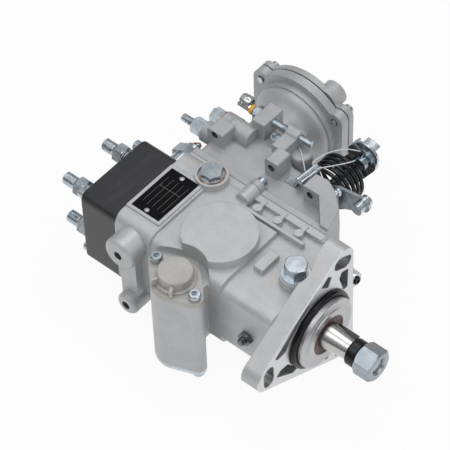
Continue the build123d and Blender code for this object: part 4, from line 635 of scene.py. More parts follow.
def shell(name: str, grid: np.ndarray) -> Piece:
    """Mesh of a two-parameter surface that closes on itself along v.

    Args:
        name: the piece's name.
        grid: points in mm, shape (U, V, 3); rows follow u and columns follow v.

    Returns:
        The linked object with its ends filled, faces outward, shaded smooth up to 35 degrees.
    """
    rows, columns = grid.shape[:2]
    index = np.arange(rows * columns).reshape(rows, columns)
    index = np.hstack([index, index[:, :1]])
    quads = np.stack([index[:-1, :-1], index[1:, :-1], index[1:, 1:], index[:-1, 1:]], axis=-1)
    mesh = bpy.data.meshes.new(name)
    mesh.from_pydata((grid * MM).reshape(-1, 3).tolist(), [], quads.reshape(-1, 4).tolist())
    builder = bmesh.new()
    builder.from_mesh(mesh)
    bmesh.ops.remove_doubles(builder, verts=builder.verts, dist=1e-6)
    bmesh.ops.dissolve_degenerate(builder, dist=1e-6, edges=builder.edges)
    holes = [edge for edge in builder.edges if edge.is_boundary]
    if holes:
        bmesh.ops.holes_fill(builder, edges=holes, sides=0)
    bmesh.ops.recalc_face_normals(builder, faces=builder.faces)
    builder.to_mesh(mesh)
    builder.free()
    mesh.shade_smooth()
    mesh.set_sharp_from_angle(angle=radians(35))
    piece = bpy.data.objects.new(name, mesh)
    bpy.context.scene.collection.objects.link(piece)
    return piece


def spun(
    name: str,
    origin: Point,
    direction: Point,
    profile: Profile,
    segments: int,
    shape: Union[Shape, None] = None,
) -> Piece:
    """Surface of revolution: the profile's radius carried round the axis.

    A point is origin + s * along + r * (cos t * side + sin t * up), where (s, r) runs along the
    profile in mm and t round the circle; shape may change r from (t, s, r).

    Args:
        name: the piece's name.
        origin: a point on the axis, in mm.
        direction: the axis.
        profile: stations (s, r) in mm.
        segments: steps round the circle.
        shape: optional change of the radius.

    Returns:
        The closed piece.
    """
    along = np.array(direction, float)
    along /= np.linalg.norm(along)
    side = np.cross([0.0, 0.0, 1.0] if abs(along[2]) < 0.9 else [1.0, 0.0, 0.0], along)
    side /= np.linalg.norm(side)
    up = np.cross(along, side)
    stations = np.array(profile, float)
    turn = np.linspace(0, 2 * pi, segments, endpoint=False)
    s, t = np.meshgrid(stations[:, 0], turn, indexing="ij")
    r = np.repeat(stations[:, 1:2], segments, axis=1)
    if shape is not None:
        r = shape(t, s, r)
    grid = np.array(origin, float) + s[..., None] * along
    grid = grid + (r * np.cos(t))[..., None] * side + (r * np.sin(t))[..., None] * up
    return shell(name, grid)


def hexagon(across: float, chamfer: float) -> Shape:
    """Radius of a hexagon across its flats, cut by a chamfer circle where the profile is wide.

    The flats lie at across/2 / cos(t mod 60 degrees - 30 degrees); the profile's own radius
    limits the corners.
    """

    def radius(t: np.ndarray, s: np.ndarray, r: np.ndarray) -> np.ndarray:
        """Smaller of the hexagon and the profile."""
        flat = across / 2 / np.cos(np.mod(t, pi / 3) - pi / 6)
        return np.where(r > chamfer, np.minimum(flat, r), r)

    return radius


def vee_thread(pitch: float, depth: float, first: float, last: float) -> Shape:
    """Radius with a vee thread between two stations.

    The groove takes depth * |2 * frac(s / pitch - t / 2 pi) - 1| off the radius.
    """

    def radius(t: np.ndarray, s: np.ndarray, r: np.ndarray) -> np.ndarray:
        """Radius less the groove, which fades out within one pitch of either end."""
        groove = np.abs(2 * np.mod(s / pitch - t / (2 * pi), 1.0) - 1)
        fade = np.clip((s - first) / pitch, 0, 1) * np.clip((last - s) / pitch, 0, 1)
        return r - depth * groove * fade * ((s >= first) & (s <= last))

    return radius


def stepped(stations: Profile, step: float) -> Profile:
    """Fill long runs of a profile with stations no further apart than step."""
    out = [stations[0]]
    for (s0, r0), (s1, r1) in zip(stations, stations[1:]):
        count = max(1, int(np.ceil(abs(s1 - s0) / step)))
        for k in range(1, count + 1):
            out.append((s0 + (s1 - s0) * k / count, r0 + (r1 - r0) * k / count))
    return out


def dome(base: float, rise: float, core: float, width: float) -> Profile:
    """Quarter ellipse (base + rise sin a, core + width cos a), a from 0 to 90 degrees."""
    return [(base + rise * sin(a), core + width * cos(a)) for a in np.linspace(0, pi / 2, 7)]


def ring(profile: Profile) -> Profile:
    """Profile of a hollow piece, closed on itself."""
    return [*profile, profile[0]]


def pipe(
    name: str, path: np.ndarray, radius: float, sides: int, pole: Union[Point, None] = None
) -> Piece:
    """Round tube along a path: a circle in the plane square to the path at each point.

    The circle starts from the cross product of the path's direction and the pole, which for a
    coil is its own axis.

    Args:
        name: the piece's name.
        path: centre points in mm, shape (N, 3).
        radius: of the tube, in mm.
        sides: steps round the tube.
        pole: direction that the path never follows; else the axis along which it spreads least.

    Returns:
        The piece, closed at both ends.
    """
    ahead = np.gradient(path, axis=0)
    ahead /= np.linalg.norm(ahead, axis=1)[:, None]
    least = np.eye(3)[int(np.argmin(np.ptp(path, axis=0)))] + 1e-3
    normal = np.cross(ahead, least if pole is None else np.array(pole, float))
    normal /= np.linalg.norm(normal, axis=1)[:, None]
    other = np.cross(ahead, normal)
    t = np.linspace(0, 2 * pi, sides, endpoint=False)[None, :, None]
    around = radius * np.cos(t) * normal[:, None, :] + radius * np.sin(t) * other[:, None, :]
    return shell(name, path[:, None, :] + around)


def beam(name: str, start: Point, end: Point, half: tuple[float, float], groove: float) -> Piece:
    """Straight bar with rounded corners and a groove along its top.

    The section is a superellipse: x = a sign(cos t) |cos t|^0.35, z = b sign(sin t) |sin t|^0.35,
    less groove * exp(-(x / 1.1)^2) where z is on top. It shrinks at both ends by a quarter ellipse.

    Args:
        name: the piece's name.
        start: centre of the first end, in mm.
        end: centre of the other end, in mm.
        half: half width and half height of the section, in mm.
        groove: depth of the groove, in mm.

    Returns:
        The closed piece.
    """
    t = np.linspace(0, 2 * pi, 64, endpoint=False)
    x, z = (a * np.sign(f) * np.abs(f) ** 0.35 for a, f in zip(half, (np.cos(t), np.sin(t))))
    z = z - groove * np.exp(-((x / 1.1) ** 2)) * (z > 0)
    length = float(np.linalg.norm(np.subtract(end, start)))
    tip = np.array([0, 0.15, 0.5, 1.0])
    along = np.concatenate([tip, np.linspace(2, length - 2, 8), length - tip[::-1]])
    inset = np.clip(1.0 - np.minimum(along, length - along), 0, 1)
    shrink = (1.0 - 0.22 * (1.0 - np.sqrt(1.0 - inset**2)))[:, None]
    centre = (np.array(start) + (along / length)[:, None] * np.subtract(end, start))[:, None]
    level = np.repeat(centre[..., 1], len(t), axis=1)
    section = [centre[..., 0] + shrink * x, level, centre[..., 2] + shrink * z]
    return shell(name, np.stack(section, axis=-1))


def smooth_path(points: Sequence[Point], count: int) -> np.ndarray:
    """Catmull-Rom curve through the points, as count samples in mm."""
    p = np.array(points, float)
    p = np.vstack([2 * p[0] - p[1], p, 2 * p[-1] - p[-2]])
    u = np.linspace(0, len(points) - 1 - 1e-9, count)
    k = u.astype(int)
    f = (u - k)[:, None]
    a, b, c, d = p[k], p[k + 1], p[k + 2], p[k + 3]
    square, cube = (2 * a - 5 * b + 4 * c - d) * f**2, (3 * b - a - 3 * c + d) * f**3
    return 0.5 * (2 * b + (c - a) * f + square + cube)


def panel(name: str, outline: np.ndarray, low: float, high: float) -> Piece:
    """Flat plate: a closed outline in the X-Z plane carried from one y to another.

    Args:
        name: the piece's name.
        outline: (x, z) points in mm, shape (N, 2).
        low: smallest y.
        high: largest y.

    Returns:
        The piece, with its sharp edges rounded by a bevel modifier.
    """
    sides = [np.insert(outline, 1, y, axis=1) for y in (low, high)]
    piece = shell(name, np.stack(sides))
    bevel = piece.modifiers.new("edges", "BEVEL")
    bevel.width = 0.35 * MM
    bevel.segments = 2
    bevel.limit_method = "ANGLE"
    bevel.angle_limit = radians(40)
    bevel.harden_normals = True
    return piece


def strip(name: str, path: Profile, thickness: float, low: float, high: float) -> Piece:
    """Bent sheet: a path of (x, z) points, thickened and carried from one y to another."""
    line = np.array(path, float)
    ahead = np.gradient(line, axis=0)
    ahead /= np.linalg.norm(ahead, axis=1)[:, None]
    across = np.stack([-ahead[:, 1], ahead[:, 0]], axis=1) * thickness / 2
    return panel(name, np.vstack([line + across, (line - across)[::-1]]), low, high)


def cut_corners(points: Profile, rounds: int = 2) -> np.ndarray:
    """Round a closed outline: a round puts points at a quarter and three quarters of each side."""
    line = np.array(points, float)
    for _ in range(rounds):
        following = np.roll(line, -1, axis=0)
        line = np.stack([0.75 * line + 0.25 * following, 0.25 * line + 0.75 * following], axis=1)
        line = line.reshape(-1, 2)
    return line


# Sub-assemblies


@dataclass
class Assembly:
    """Common part of every sub-assembly: dressing, riding and reporting its pieces."""

    frame: dict
    paint: dict[str, Material]
    made: list[str] = field(default_factory=list)

    def mark(self, piece: Piece, finish: str) -> None:
        """Give a piece its material, and note it."""
        piece.data.materials.append(self.paint[finish])
        self.made.append(piece.name)

    def dress(
        self, piece: Piece, finish: str = "zinc_plate", slot: str = "zinc", body: Body = Body.PUMP
    ) -> None:
        """Mark a piece and let it ride on one body."""
        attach(piece, body.value)
        self.mark(piece, finish)

    def bend(
        self, piece: Piece, finish: str, slot: str, bodies: tuple[Body, Body], ends: Sequence
    ) -> None:
        """Bake a piece's placement into its mesh and mark it."""
        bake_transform(piece)
        self.mark(piece, finish)

    def coat(self, finish: str, nodes: str) -> None:
        """Give the CAD nodes named in a line their finish."""
        for node in nodes.split():
            materials = self.frame["nodes"][node].data.materials
            materials.clear()
            materials.append(self.paint[finish])
            self.made.append(node)

    def turned(self, name: str, *solid: object, stands_for: str = "", **marks: object) -> None:
        """Spin a piece and dress it.

        Args:
            name: the piece's name.
            solid: the rest of what spun takes.
            stands_for: the CAD node that it takes the place of, if any.
            marks: finish, slot and body, where they aren't zinc on the pump.
        """
        piece = spun(name, *solid)
        if stands_for:
            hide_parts(stands_for)
        self.dress(piece, **marks)


@dataclass
class OutletHolders(Assembly):
    """The four threaded outlets on the distributor head."""

    face_x: float = -230.0
    offset: float = 25.5
    pitch: float = 1.5
    length: float = 34.0
    hexagon_across: float = 17.0
    wall_r: float = 5.5

    def build(self) -> None:
        """Make each holder as one turned piece with a thread, a hexagon and a cone seat."""
        end = self.length
        profile = [(-21.9, 0.01), (-21.9, 6.0), (0.0, 6.0), (0.0, 7.0), (7.6, 7.0), (8.0, 6.6)]
        profile += [(8.0, 8.15), (9.0, 8.15), (9.0, 9.0), (10.0, 9.9), (17.0, 9.9), (18.0, 9.0)]
        profile += [(18.0, 5.2), (20.0, 5.2), (20.6, 5.95)]
        profile += [(end - 1.2, 5.95), (end, 4.7), (end, 3.4), (end - 5.0, 1.2), (end - 12.0, 1.2)]
        profile = stepped([*profile, (end - 12.0, 0.01)], self.pitch / 8)
        flats = hexagon(self.hexagon_across, 8.2)
        flank = vee_thread(self.pitch, 0.55, 20.4, end - 0.6)

        def shape(t: np.ndarray, s: np.ndarray, r: np.ndarray) -> np.ndarray:
            """Thread where the profile is the outer wall, hexagon in its own stretch."""
            return np.where(r > self.wall_r, flank(t, s, flats(t, s, r)), r)

        places = [(a, b) for a in (1, -1) for b in (1, -1)]
        for number, (a, b) in enumerate(places, start=1):
            origin = (self.face_x, a * self.offset, b * self.offset)
            solid = (f"outlet_holder_{number}", origin, (-1, 0, 0), profile, 72, shape)
            self.turned(*solid, stands_for="outlet_holders")


@dataclass
class StopScrew(Assembly):
    """Full-speed stop screw: thread, yellow band and chromed sealing cap."""

    y: float = 124.0
    z: float = 47.5
    back_x: float = -190.6
    tip_x: float = -109.0
    cap_at: Point = (-189.5, 126.6, 50.6)
    band_x: float = -176.8

    def thread(self) -> None:
        """Cut the screw: a plain shank behind the band, then a vee thread to the tip."""
        length = self.tip_x - self.band_x
        profile = [(0, 0.01), (0, 3.9), (length - 1.0, 3.9), (length, 3.0), (length, 0.01)]
        origin, flank = (self.band_x, self.y, self.z), vee_thread(1.25, 0.55, 5.0, length)
        solid = ("stop_screw_thread", origin, (1, 0, 0), stepped(profile, 0.18), 40, flank)
        self.turned(*solid, stands_for="stop_screw")

    def cap(self) -> None:
        """Turn the chromed shank and the ringed cap that leans on it."""
        marks = {"stands_for": "stop_cap", "finish": "chrome", "slot": "chrome"}
        profile = [(0, 0.01), (0, 2.9), (0.5, 3.5), (4.6, 3.5), (4.9, 3.1), (5.6, 3.1), (5.9, 3.6)]
        profile += [(13.3, 3.6), (13.8, 3.3), (13.8, 0.01)]
        origin = (self.back_x, self.y, self.z)
        self.turned("stop_screw_shank", origin, (1, 0, 0), profile, 48, **marks)
        profile = [(0, 0.01), (0, 4.6), (0.5, 5.6), (1.8, 6.0), (2.3, 5.3), (3.0, 5.3), (3.4, 6.1)]
        profile += [(5.2, 6.3), (5.8, 5.6), (6.4, 5.6), (6.9, 6.3), (10.4, 6.1), (11.0, 5.6)]
        profile += [(11.0, 4.4), (7.4, 4.1), (7.4, 0.01)]
        self.turned("stop_screw_cap", self.cap_at, (1, 0, 0), profile, 64, **marks)

    def band(self) -> None:
        """Paint the yellow band as a thin rounded sleeve."""
        marks = {"finish": "band_yellow", "slot": "plate_black"}
        profile = [(0, 3.8), (0, 4.3), (0.3, 4.6), (3.1, 4.6), (3.4, 4.3), (3.4, 3.8)]
        origin = (self.band_x, self.y, self.z)
        self.turned("stop_screw_band", origin, (1, 0, 0), profile, 48, **marks)

    def build(self) -> None:
        """Make the screw, its cap and its band."""
        self.thread()
        self.cap()
        self.band()


@dataclass
class RearAdjuster(Assembly):
    """Threaded adjusting screw on the rear of the governor cover."""

    seat: Point = (-201.0, 90.0, 31.0)
    length: float = 27.0

    def build(self) -> None:
        """Make the threaded screw with its necked, hollow end."""
        end = self.length
        profile = [(-9.9, 0.01), (-9.9, 3.95), (end - 8.0, 3.95), (end - 7.4, 3.2)]
        profile += [(end - 6.2, 3.2), (end - 6.0, 3.9), (end - 0.8, 3.9), (end, 3.2)]
        profile = stepped([*profile, (end, 1.6), (end - 3.0, 1.6), (end - 3.0, 0.01)], 0.2)
        flank = vee_thread(1.25, 0.6, 10.0, end - 8.0)
        solid = ("rear_adjusting_screw", self.seat, (-1, 0, 0), profile, 40, flank)
        self.turned(*solid, stands_for="rear_stud")


@dataclass
class ReturnSpring(Assembly):
    """Black torsion spring between the two lever plates."""

    x: float = -80.0
    z: float = 20.0
    low_y: float = 112.2
    high_y: float = 133.6
    radius: float = 21.5
    wire: float = 1.9
    turns: float = 4.5

    def build(self) -> None:
        """Wind the wire: angle grows evenly, and y too but for the flat turns at both ends."""
        u = np.linspace(0, 1, 340)
        angle = 2 * pi * self.turns * u
        y = self.low_y + (self.high_y - self.low_y) * np.clip((u - 0.06) / 0.88, 0, 1)
        x, z = self.x + self.radius * np.cos(angle), self.z + self.radius * np.sin(angle)
        path = np.column_stack([x, y, z])
        piece = pipe("return_spring_wire", path, self.wire, 16, (0.0, 1.0, 0.0))
        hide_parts("return_spring")
        self.dress(piece, "spring_black", "spring_black")


@dataclass
class WorkingSprings(Assembly):
    """Springs inside the pump, wound where their CAD nodes were."""

    steps: int = 44

    def coil(
        self,
        name: str,
        node: str,
        along: int,
        sizes: Point,
        bodies: tuple[Body, Body],
        part: tuple[float, float] = (0, 1),
    ) -> None:
        """Wind part of a spring into the box of its CAD node.

        The angle and the run along the axis both grow evenly, so the path is a helix.

        Args:
            name: the piece's name.
            node: CAD node that it stands for.
            along: index of the axis.
            sizes: radius of the coil and of the wire in mm, and the whole spring's turns.
            bodies: the bodies of the low and the high end; not used.
            part: first and last share of the spring.
        """
        radius, wire, turns = sizes
        low, high = (np.array(corner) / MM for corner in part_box(node))
        middle = (low + high) / 2
        share = np.linspace(part[0], part[1], int(self.steps * turns * (part[1] - part[0])))
        first, second = (n for n in range(3) if n != along)
        path = np.zeros((len(share), 3))
        path[:, along] = low[along] + wire + (high[along] - low[along] - 2 * wire) * share
        path[:, first] = middle[first] + radius * np.cos(2 * pi * turns * share)
        path[:, second] = middle[second] + radius * np.sin(2 * pi * turns * share)
        piece = pipe(name, path, wire, 10, tuple(float(n == along) for n in range(3)))
        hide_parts(node)
        corners = np.empty(3 * len(piece.data.vertices))
        piece.data.vertices.foreach_get("co", corners)
        corners = corners.reshape(-1, 3)
        ends = np.tile(corners.mean(axis=0), (2, 1))
        ends[:, along] = corners[:, along].min(), corners[:, along].max()
        self.bend(piece, "inner_steel", "steel", bodies, ends)

    def build(self) -> None:
        """Wind the advance, boost and governor springs; the last in two halves."""
        advance, boost, governor = (8.5, 1.4, 6), (13.0, 1.3, 6), (5.0, 0.9, 8)
        piston, lid = (Body.PUMP, Body.PISTON), (Body.PUMP, Body.BOOST)
        arm, crank = (Body.ARM, Body.PUMP), (Body.PUMP, Body.THROTTLE)
        self.coil("advance_spring_coil", "timing_spring", 2, advance, piston)
        self.coil("boost_spring_coil", "boost_spring", 1, boost, lid)
        self.coil("governor_spring_lever_end", "governor_spring", 0, governor, arm, (0, 0.5))
        self.coil("governor_spring_crank_end", "governor_spring", 0, governor, crank, (0.5, 1))


@dataclass
class SpringBracket(Assembly):
    """Grooved bar beside the spring, on a sheet foot that lies on the cover."""

    low: Point = (-90.3, 84.4, 47.0)
    high: Point = (-88.0, 109.0, 47.0)
    half: tuple = (3.9, 2.6)
    groove: float = 1.1
    sheet: float = 1.4

    def build(self) -> None:
        """Make the bar and its foot."""
        self.dress(beam("spring_bracket_bar", self.low, self.high, self.half, self.groove))
        path = [(-107.5, 36.0), (-104.0, 35.9), (-98.5, 35.9), (-96.6, 36.4), (-95.2, 37.8)]
        path += [(-94.3, 40.2), (-93.6, 43.0), (-92.4, 45.4), (-90.4, 46.4)]
        self.dress(strip("spring_bracket_foot", path, self.sheet, 85.2, 93.0))


@dataclass
class LockWires(Assembly):
    """Thin sealing wires: one from the stop ear, two across the spring to the upper lever."""

    wire: float = 0.5
    still: tuple = (
        (-120.4, 121.2, 40.5), (-113.0, 115.2, 42.0), (-104.0, 107.2, 43.6), (-93.8, 97.4, 46.4)
    )
    upper: tuple = (
        (-90.5, 104.5, 49.5), (-92.6, 107.5, 51.8), (-88.0, 121.0, 54.2), (-76.5, 131.0, 58.6),
        (-64.0, 135.9, 60.6),
    )
    lower: tuple = (
        (-87.0, 103.0, 49.5), (-84.5, 105.0, 51.0), (-76.0, 115.5, 51.4), (-67.0, 127.5, 52.2),
        (-61.5, 135.9, 55.6),
    )

    def build(self) -> None:
        """Draw each wire as a Catmull-Rom curve."""
        self.dress(pipe("lock_wire_1", smooth_path(self.still, 40), self.wire, 10), "bright_wire")
        for number, points in enumerate((self.upper, self.lower), start=2):
            wire = pipe(f"lock_wire_{number}", smooth_path(points, 60), self.wire, 10)
            ends = [tuple(v * MM for v in points[n]) for n in (1, -1)]
            self.bend(wire, "bright_wire", "zinc", (Body.PUMP, Body.THROTTLE), ends)


@dataclass
class LeverEnds(Assembly):
    """Rim, flare and folded flaps of the upper lever, with the rivets and screw near it."""

    rim: Point = (-60.0, 138.9, 50.7)
    flare: tuple = (
        (-78.0, 46.0), (-77.5, 57.0), (-71.0, 66.0), (-65.0, 71.4), (-56.0, 71.4), (-46.0, 66.0),
        (-46.0, 53.0), (-53.0, 42.0), (-70.0, 36.0),
    )
    flaps: tuple = (
        ((-76.8, 53.0), (-76.2, 56.6), (-71.6, 63.4)),
        ((-63.5, 69.6), (-57.5, 69.9), (-50.5, 66.8)),
    )
    screw: Point = (-58.8, 97.4, 45.0)
    screw_way: Point = (0.447, 0.894, 0.0)
    rivets: tuple = ((-55.6, 109.9, 31.0), (-46.5, 109.9, 27.5))

    def upper(self) -> None:
        """Make the upper lever's rim, flare and flaps."""
        profile = ring([(0, 10.6), (0, 12.3), (1.6, 12.3), (2.2, 11.9), (2.2, 11.3), (1.5, 10.9)])
        self.turned("upper_lever_rim", self.rim, (0, 1, 0), profile, 64, body=Body.THROTTLE)
        flare = panel("upper_lever_flare", cut_corners(self.flare), 136.3, 138.7)
        self.dress(flare, body=Body.THROTTLE)
        for number, path in enumerate(self.flaps, start=1):
            flap = strip(f"upper_lever_flap_{number}", path, 2.2, 136.4, 146.0)
            self.dress(flap, body=Body.THROTTLE)

    def build(self) -> None:
        """Make the upper lever's pieces, the screw in the wing and the lower lever's rivets."""
        self.upper()
        profile = [(-9.0, 0.01), (-9.0, 2.4), (0.0, 2.4), (0.0, 4.2), (1.6, 4.2)]
        profile += [*dome(1.6, 1.6, 2.6, 1.6)[1:], (3.2, 1.9), (1.4, 1.9), (1.4, 0.01)]
        self.turned("wing_screw", self.screw, self.screw_way, profile, 36)
        profile = [(0, 0.01), (0, 4.6), (1.2, 4.6), (1.5, 3.4), (2.4, 3.4)]
        profile += dome(2.4, 1.3, 0.01, 3.4)[1:]
        for number, place in enumerate(self.rivets, start=1):
            self.turned(f"lower_lever_rivet_{number}", place, (0, 1, 0), profile, 32)


@dataclass
class Nameplate(Assembly):
    """Rivets of the bare plate."""

    places: tuple = ((-171.9, -20.8, 45.0), (-171.8, 24.8, 45.0))

    def build(self) -> None:
        """Make two domed rivets, each on a thin flat rim."""
        profile = [(-0.4, 0.01), (-0.4, 2.3), (0.15, 2.2), (0.15, 1.8), *dome(0.15, 0.7, 0.01, 1.7)]
        for number, place in enumerate(self.places, start=1):
            self.turned(f"plate_rivet_{number}", place, (0, 0, 1), profile, 28, finish="lead")


@dataclass
class SolenoidLead(Assembly):
    """Plastic cap and short lead of the shut-off solenoid."""

    x: float = -203.5
    z: float = 15.0
    cap_y: float = 76.1
    bends: tuple = (
        (0.0, 83.9, 0.0), (-2.0, 86.2, -1.0), (-8.0, 86.8, -5.0), (-14.5, 84.2, -9.0),
        (-17.0, 82.6, -11.2),
    )

    def build(self) -> None:
        """Turn the cap and bend the lead stub."""
        profile = ring([(0, 4.05), (0, 5.4), (0.5, 5.8), (3.2, 5.6), (3.8, 4.6), (3.8, 4.05)])
        place, marks = (self.x, self.cap_y, self.z), {"finish": "dark_recess", "slot": "rubber"}
        self.turned("solenoid_cap", place, (0, 1, 0), profile, 40, **marks)
        points = [(self.x + x, y, self.z + z) for x, y, z in self.bends]
        lead = pipe("solenoid_lead", smooth_path(points, 40), 0.75, 12)
        self.dress(lead, "wire_red", "rubber")


@dataclass
class GovernorShaftNut(Assembly):
    """Boss, hexagon nut and hollow end of the governor shaft above the flange."""

    y: float = 63.2
    z: float = -3.5
    boss_x: float = -40.5
    seat_x: float = -17.0
    gap: float = 0.02

    def build(self) -> None:
        """Turn the boss, the nut and the shaft end with its round socket."""
        length = self.seat_x - self.boss_x
        profile = [(0, 0.01), (0, 9.0), (length - 0.8, 7.9), (length, 7.2), (length, 0.01)]
        place, marks = (self.boss_x, self.y, self.z), {"finish": "cast_alloy", "slot": "cast"}
        self.turned("governor_shaft_boss", place, (1, 0, 0), profile, 56, **marks)
        profile = ring([(0, 4.1), (0, 6.9), (0.5, 8.1), (7.0, 8.1), (7.6, 6.9), (7.6, 4.1)])
        place, flats = (self.seat_x + self.gap, self.y, self.z), hexagon(14.0, 6.95)
        self.turned("governor_shaft_nut", place, (1, 0, 0), profile, 72, flats)
        profile = [(0, 0.01), (0, 4.0), (8.9, 4.0), (9.7, 3.2), (9.7, 2.3), (5.9, 2.3), (5.9, 0.01)]
        place, marks = (self.seat_x, self.y, self.z), {"finish": "key_steel"}
        self.turned("governor_shaft_end", place, (1, 0, 0), profile, 48, **marks)


@dataclass
class EarPillar(Assembly):
    """Rounded casting under the stop ear that joins it to the governor cover."""

    foot: Point = (-115.6, 118.0, -6.0)
    height: float = 45.6
    radius: float = 11.0
    crown: float = 3.0
    flare: float = 1.6

    def build(self) -> None:
        """Turn the pillar and round its top by a quarter circle."""
        crown = dome(self.height - self.crown, self.crown, self.radius - self.crown, self.crown)
        profile = [(0, 0.01), (0, self.radius + self.flare), *crown, (self.height, 0.01)]
        marks = {"finish": "cover_alloy", "slot": "cast"}
        self.turned("stop_ear_pillar", self.foot, (0, 0, 1), profile, 64, **marks)


@dataclass
class FloorScrew(Assembly):
    """Dark locked screw in the underside of the housing's neck."""

    seat: Point = (-42.5, -42.9, -3.5)

    def build(self) -> None:
        """Turn the lock nut and the threaded screw through it."""
        down, marks = (0, -1, 0), {"finish": "dark_zinc"}
        profile = ring([(0, 3.7), (0, 6.0), (0.4, 6.9), (4.6, 6.9), (5.0, 6.0), (5.0, 3.7)])
        self.turned("floor_screw_nut", self.seat, down, profile, 72, hexagon(12.0, 6.05), **marks)
        profile = stepped([(0, 0.01), (0, 3.6), (8.7, 3.6), (9.5, 2.8), (9.5, 0.01)], 0.16)
        flank = vee_thread(1.25, 0.6, 5.2, 9.5)
        self.turned("floor_screw_thread", self.seat, down, profile, 40, flank, **marks)


@dataclass
class Castings(Assembly):
    """Finishes of the CAD nodes that keep their own shapes."""

    def build(self) -> None:
        """Coat every node by what it is made of."""
        for finish, nodes in (
            ("housing_alloy", "pump_housing"),
            ("governor_cover_alloy", "governor_cover"),
            ("cover_alloy", "boost_lid"),
            ("warm_alloy", "timing_cover"),
            ("head_black", "distributor_head"),
            ("zinc_plate", "head_bolts stop_solenoid small_screws rear_nut rear_plug stop_nut"),
            ("zinc_plate", "low_lever top_lever lever_shaft boss_plug inlet_bolt timing_plate"),
            ("zinc_plate", "boost_screws head_plug"),
            ("nut_zinc", "shaft_nut"),
            ("shaft_steel", "drive_shaft feed_rotor feed_vanes"),
            ("key_steel", "woodruff_key"),
            ("ring_rubber", "pilot_o_ring"),
            ("inner_steel", "drive_gear cross_disc cam_disc plunger feed_ring feed_plate"),
            ("inner_steel", "governor_shaft governor_cage flyweights governor_lever"),
            ("inner_steel", "governor_slider control_sleeve rollers timing_piston roller_ring"),
            ("inner_steel", "lever_pin spring_bridge plunger_springs distributor_barrel boost_pin"),
            ("copper", "copper_washers"),
            ("bronze", "shaft_bush"),
            ("black_rubber", "thread_sleeve boost_diaphragm"),
            ("seal_brown", "shaft_seal"),
            ("blank_plate", "nameplate"),
            ("gasket_fibre", "cover_gasket"),
        ):
            self.coat(finish, nodes)


def finishes() -> dict[str, Material]:
    """Build every material of the pump, by its name."""
    cast = CastAlloy("cast_alloy")
    cover = CastAlloy("cover_alloy", (0.52, 0.525, 0.535), (0.45, 0.455, 0.465))
    nut = ((0.40, 0.44, 0.47), (0.31, 0.35, 0.39), (0.38, 0.37, 0.33), 0.32)
    dark_zinc = ((0.20, 0.21, 0.22), (0.13, 0.14, 0.15), (0.2, 0.19, 0.17), 0.34)
    ring_rubber = ((0.004, 0.004, 0.005), (0.008, 0.008, 0.010), 0.17, 1.2, 0.005, 0.30)
    sleeve = ((0.006, 0.006, 0.007), (0.012, 0.012, 0.013), 0.26)
    head = ((0.015, 0.015, 0.017), (0.034, 0.034, 0.038), 0.42)
    spring = ((0.003, 0.003, 0.004), (0.006, 0.006, 0.007), 0.20, 0.0)
    wire = ((0.80, 0.82, 0.84), (0.72, 0.74, 0.76), 0.25)
    made = (
        cast,
        HousingAlloy("housing_alloy", cast),
        CoverAlloy("governor_cover_alloy", cover),
        cover,
        CastAlloy("warm_alloy", (0.545, 0.525, 0.495), (0.47, 0.455, 0.43)),
        Painted("head_black", *head),
        PlatedSteel("zinc_plate"),
        PlatedSteel("nut_zinc", *nut),
        PlatedSteel("dark_zinc", *dark_zinc),
        TurnedSteel("shaft_steel"),
        TurnedSteel("key_steel", (0.06, 0.06, 0.06), (0.03, 0.03, 0.03)),
        TurnedSteel("inner_steel", (0.5, 0.5, 0.51), (0.35, 0.35, 0.36)),
        Sheen("copper", (0.80, 0.34, 0.17), (0.58, 0.22, 0.10)),
        Sheen("bronze", (0.55, 0.38, 0.18), (0.38, 0.25, 0.12), 0.35),
        Sheen("chrome", (0.80, 0.80, 0.82), (0.66, 0.67, 0.70), 0.09),
        Sheen("lead", (0.62, 0.63, 0.65), (0.50, 0.51, 0.53), 0.34),
        Painted("bright_wire", *wire, edge=0.1),
        Soft("ring_rubber", *ring_rubber),
        Soft("black_rubber", *sleeve, specular=0.35),
        Soft("seal_brown", (0.075, 0.022, 0.018), (0.11, 0.04, 0.03), 0.36),
        BlankPlate("blank_plate"),
        Soft("gasket_fibre", (0.30, 0.30, 0.30), (0.38, 0.37, 0.36), 0.7),
        Painted("spring_black", *spring),
        Painted("dark_recess", (0.02, 0.02, 0.02), (0.04, 0.04, 0.04), 0.5, 0.0),
        Soft("wire_red", (0.42, 0.06, 0.02), (0.50, 0.10, 0.04), 0.4),
        Painted("band_yellow", (1.0, 0.50, 0.01), (0.95, 0.44, 0.02)),
    )
    return {finish.name: finish.material() for finish in made}


# Stage


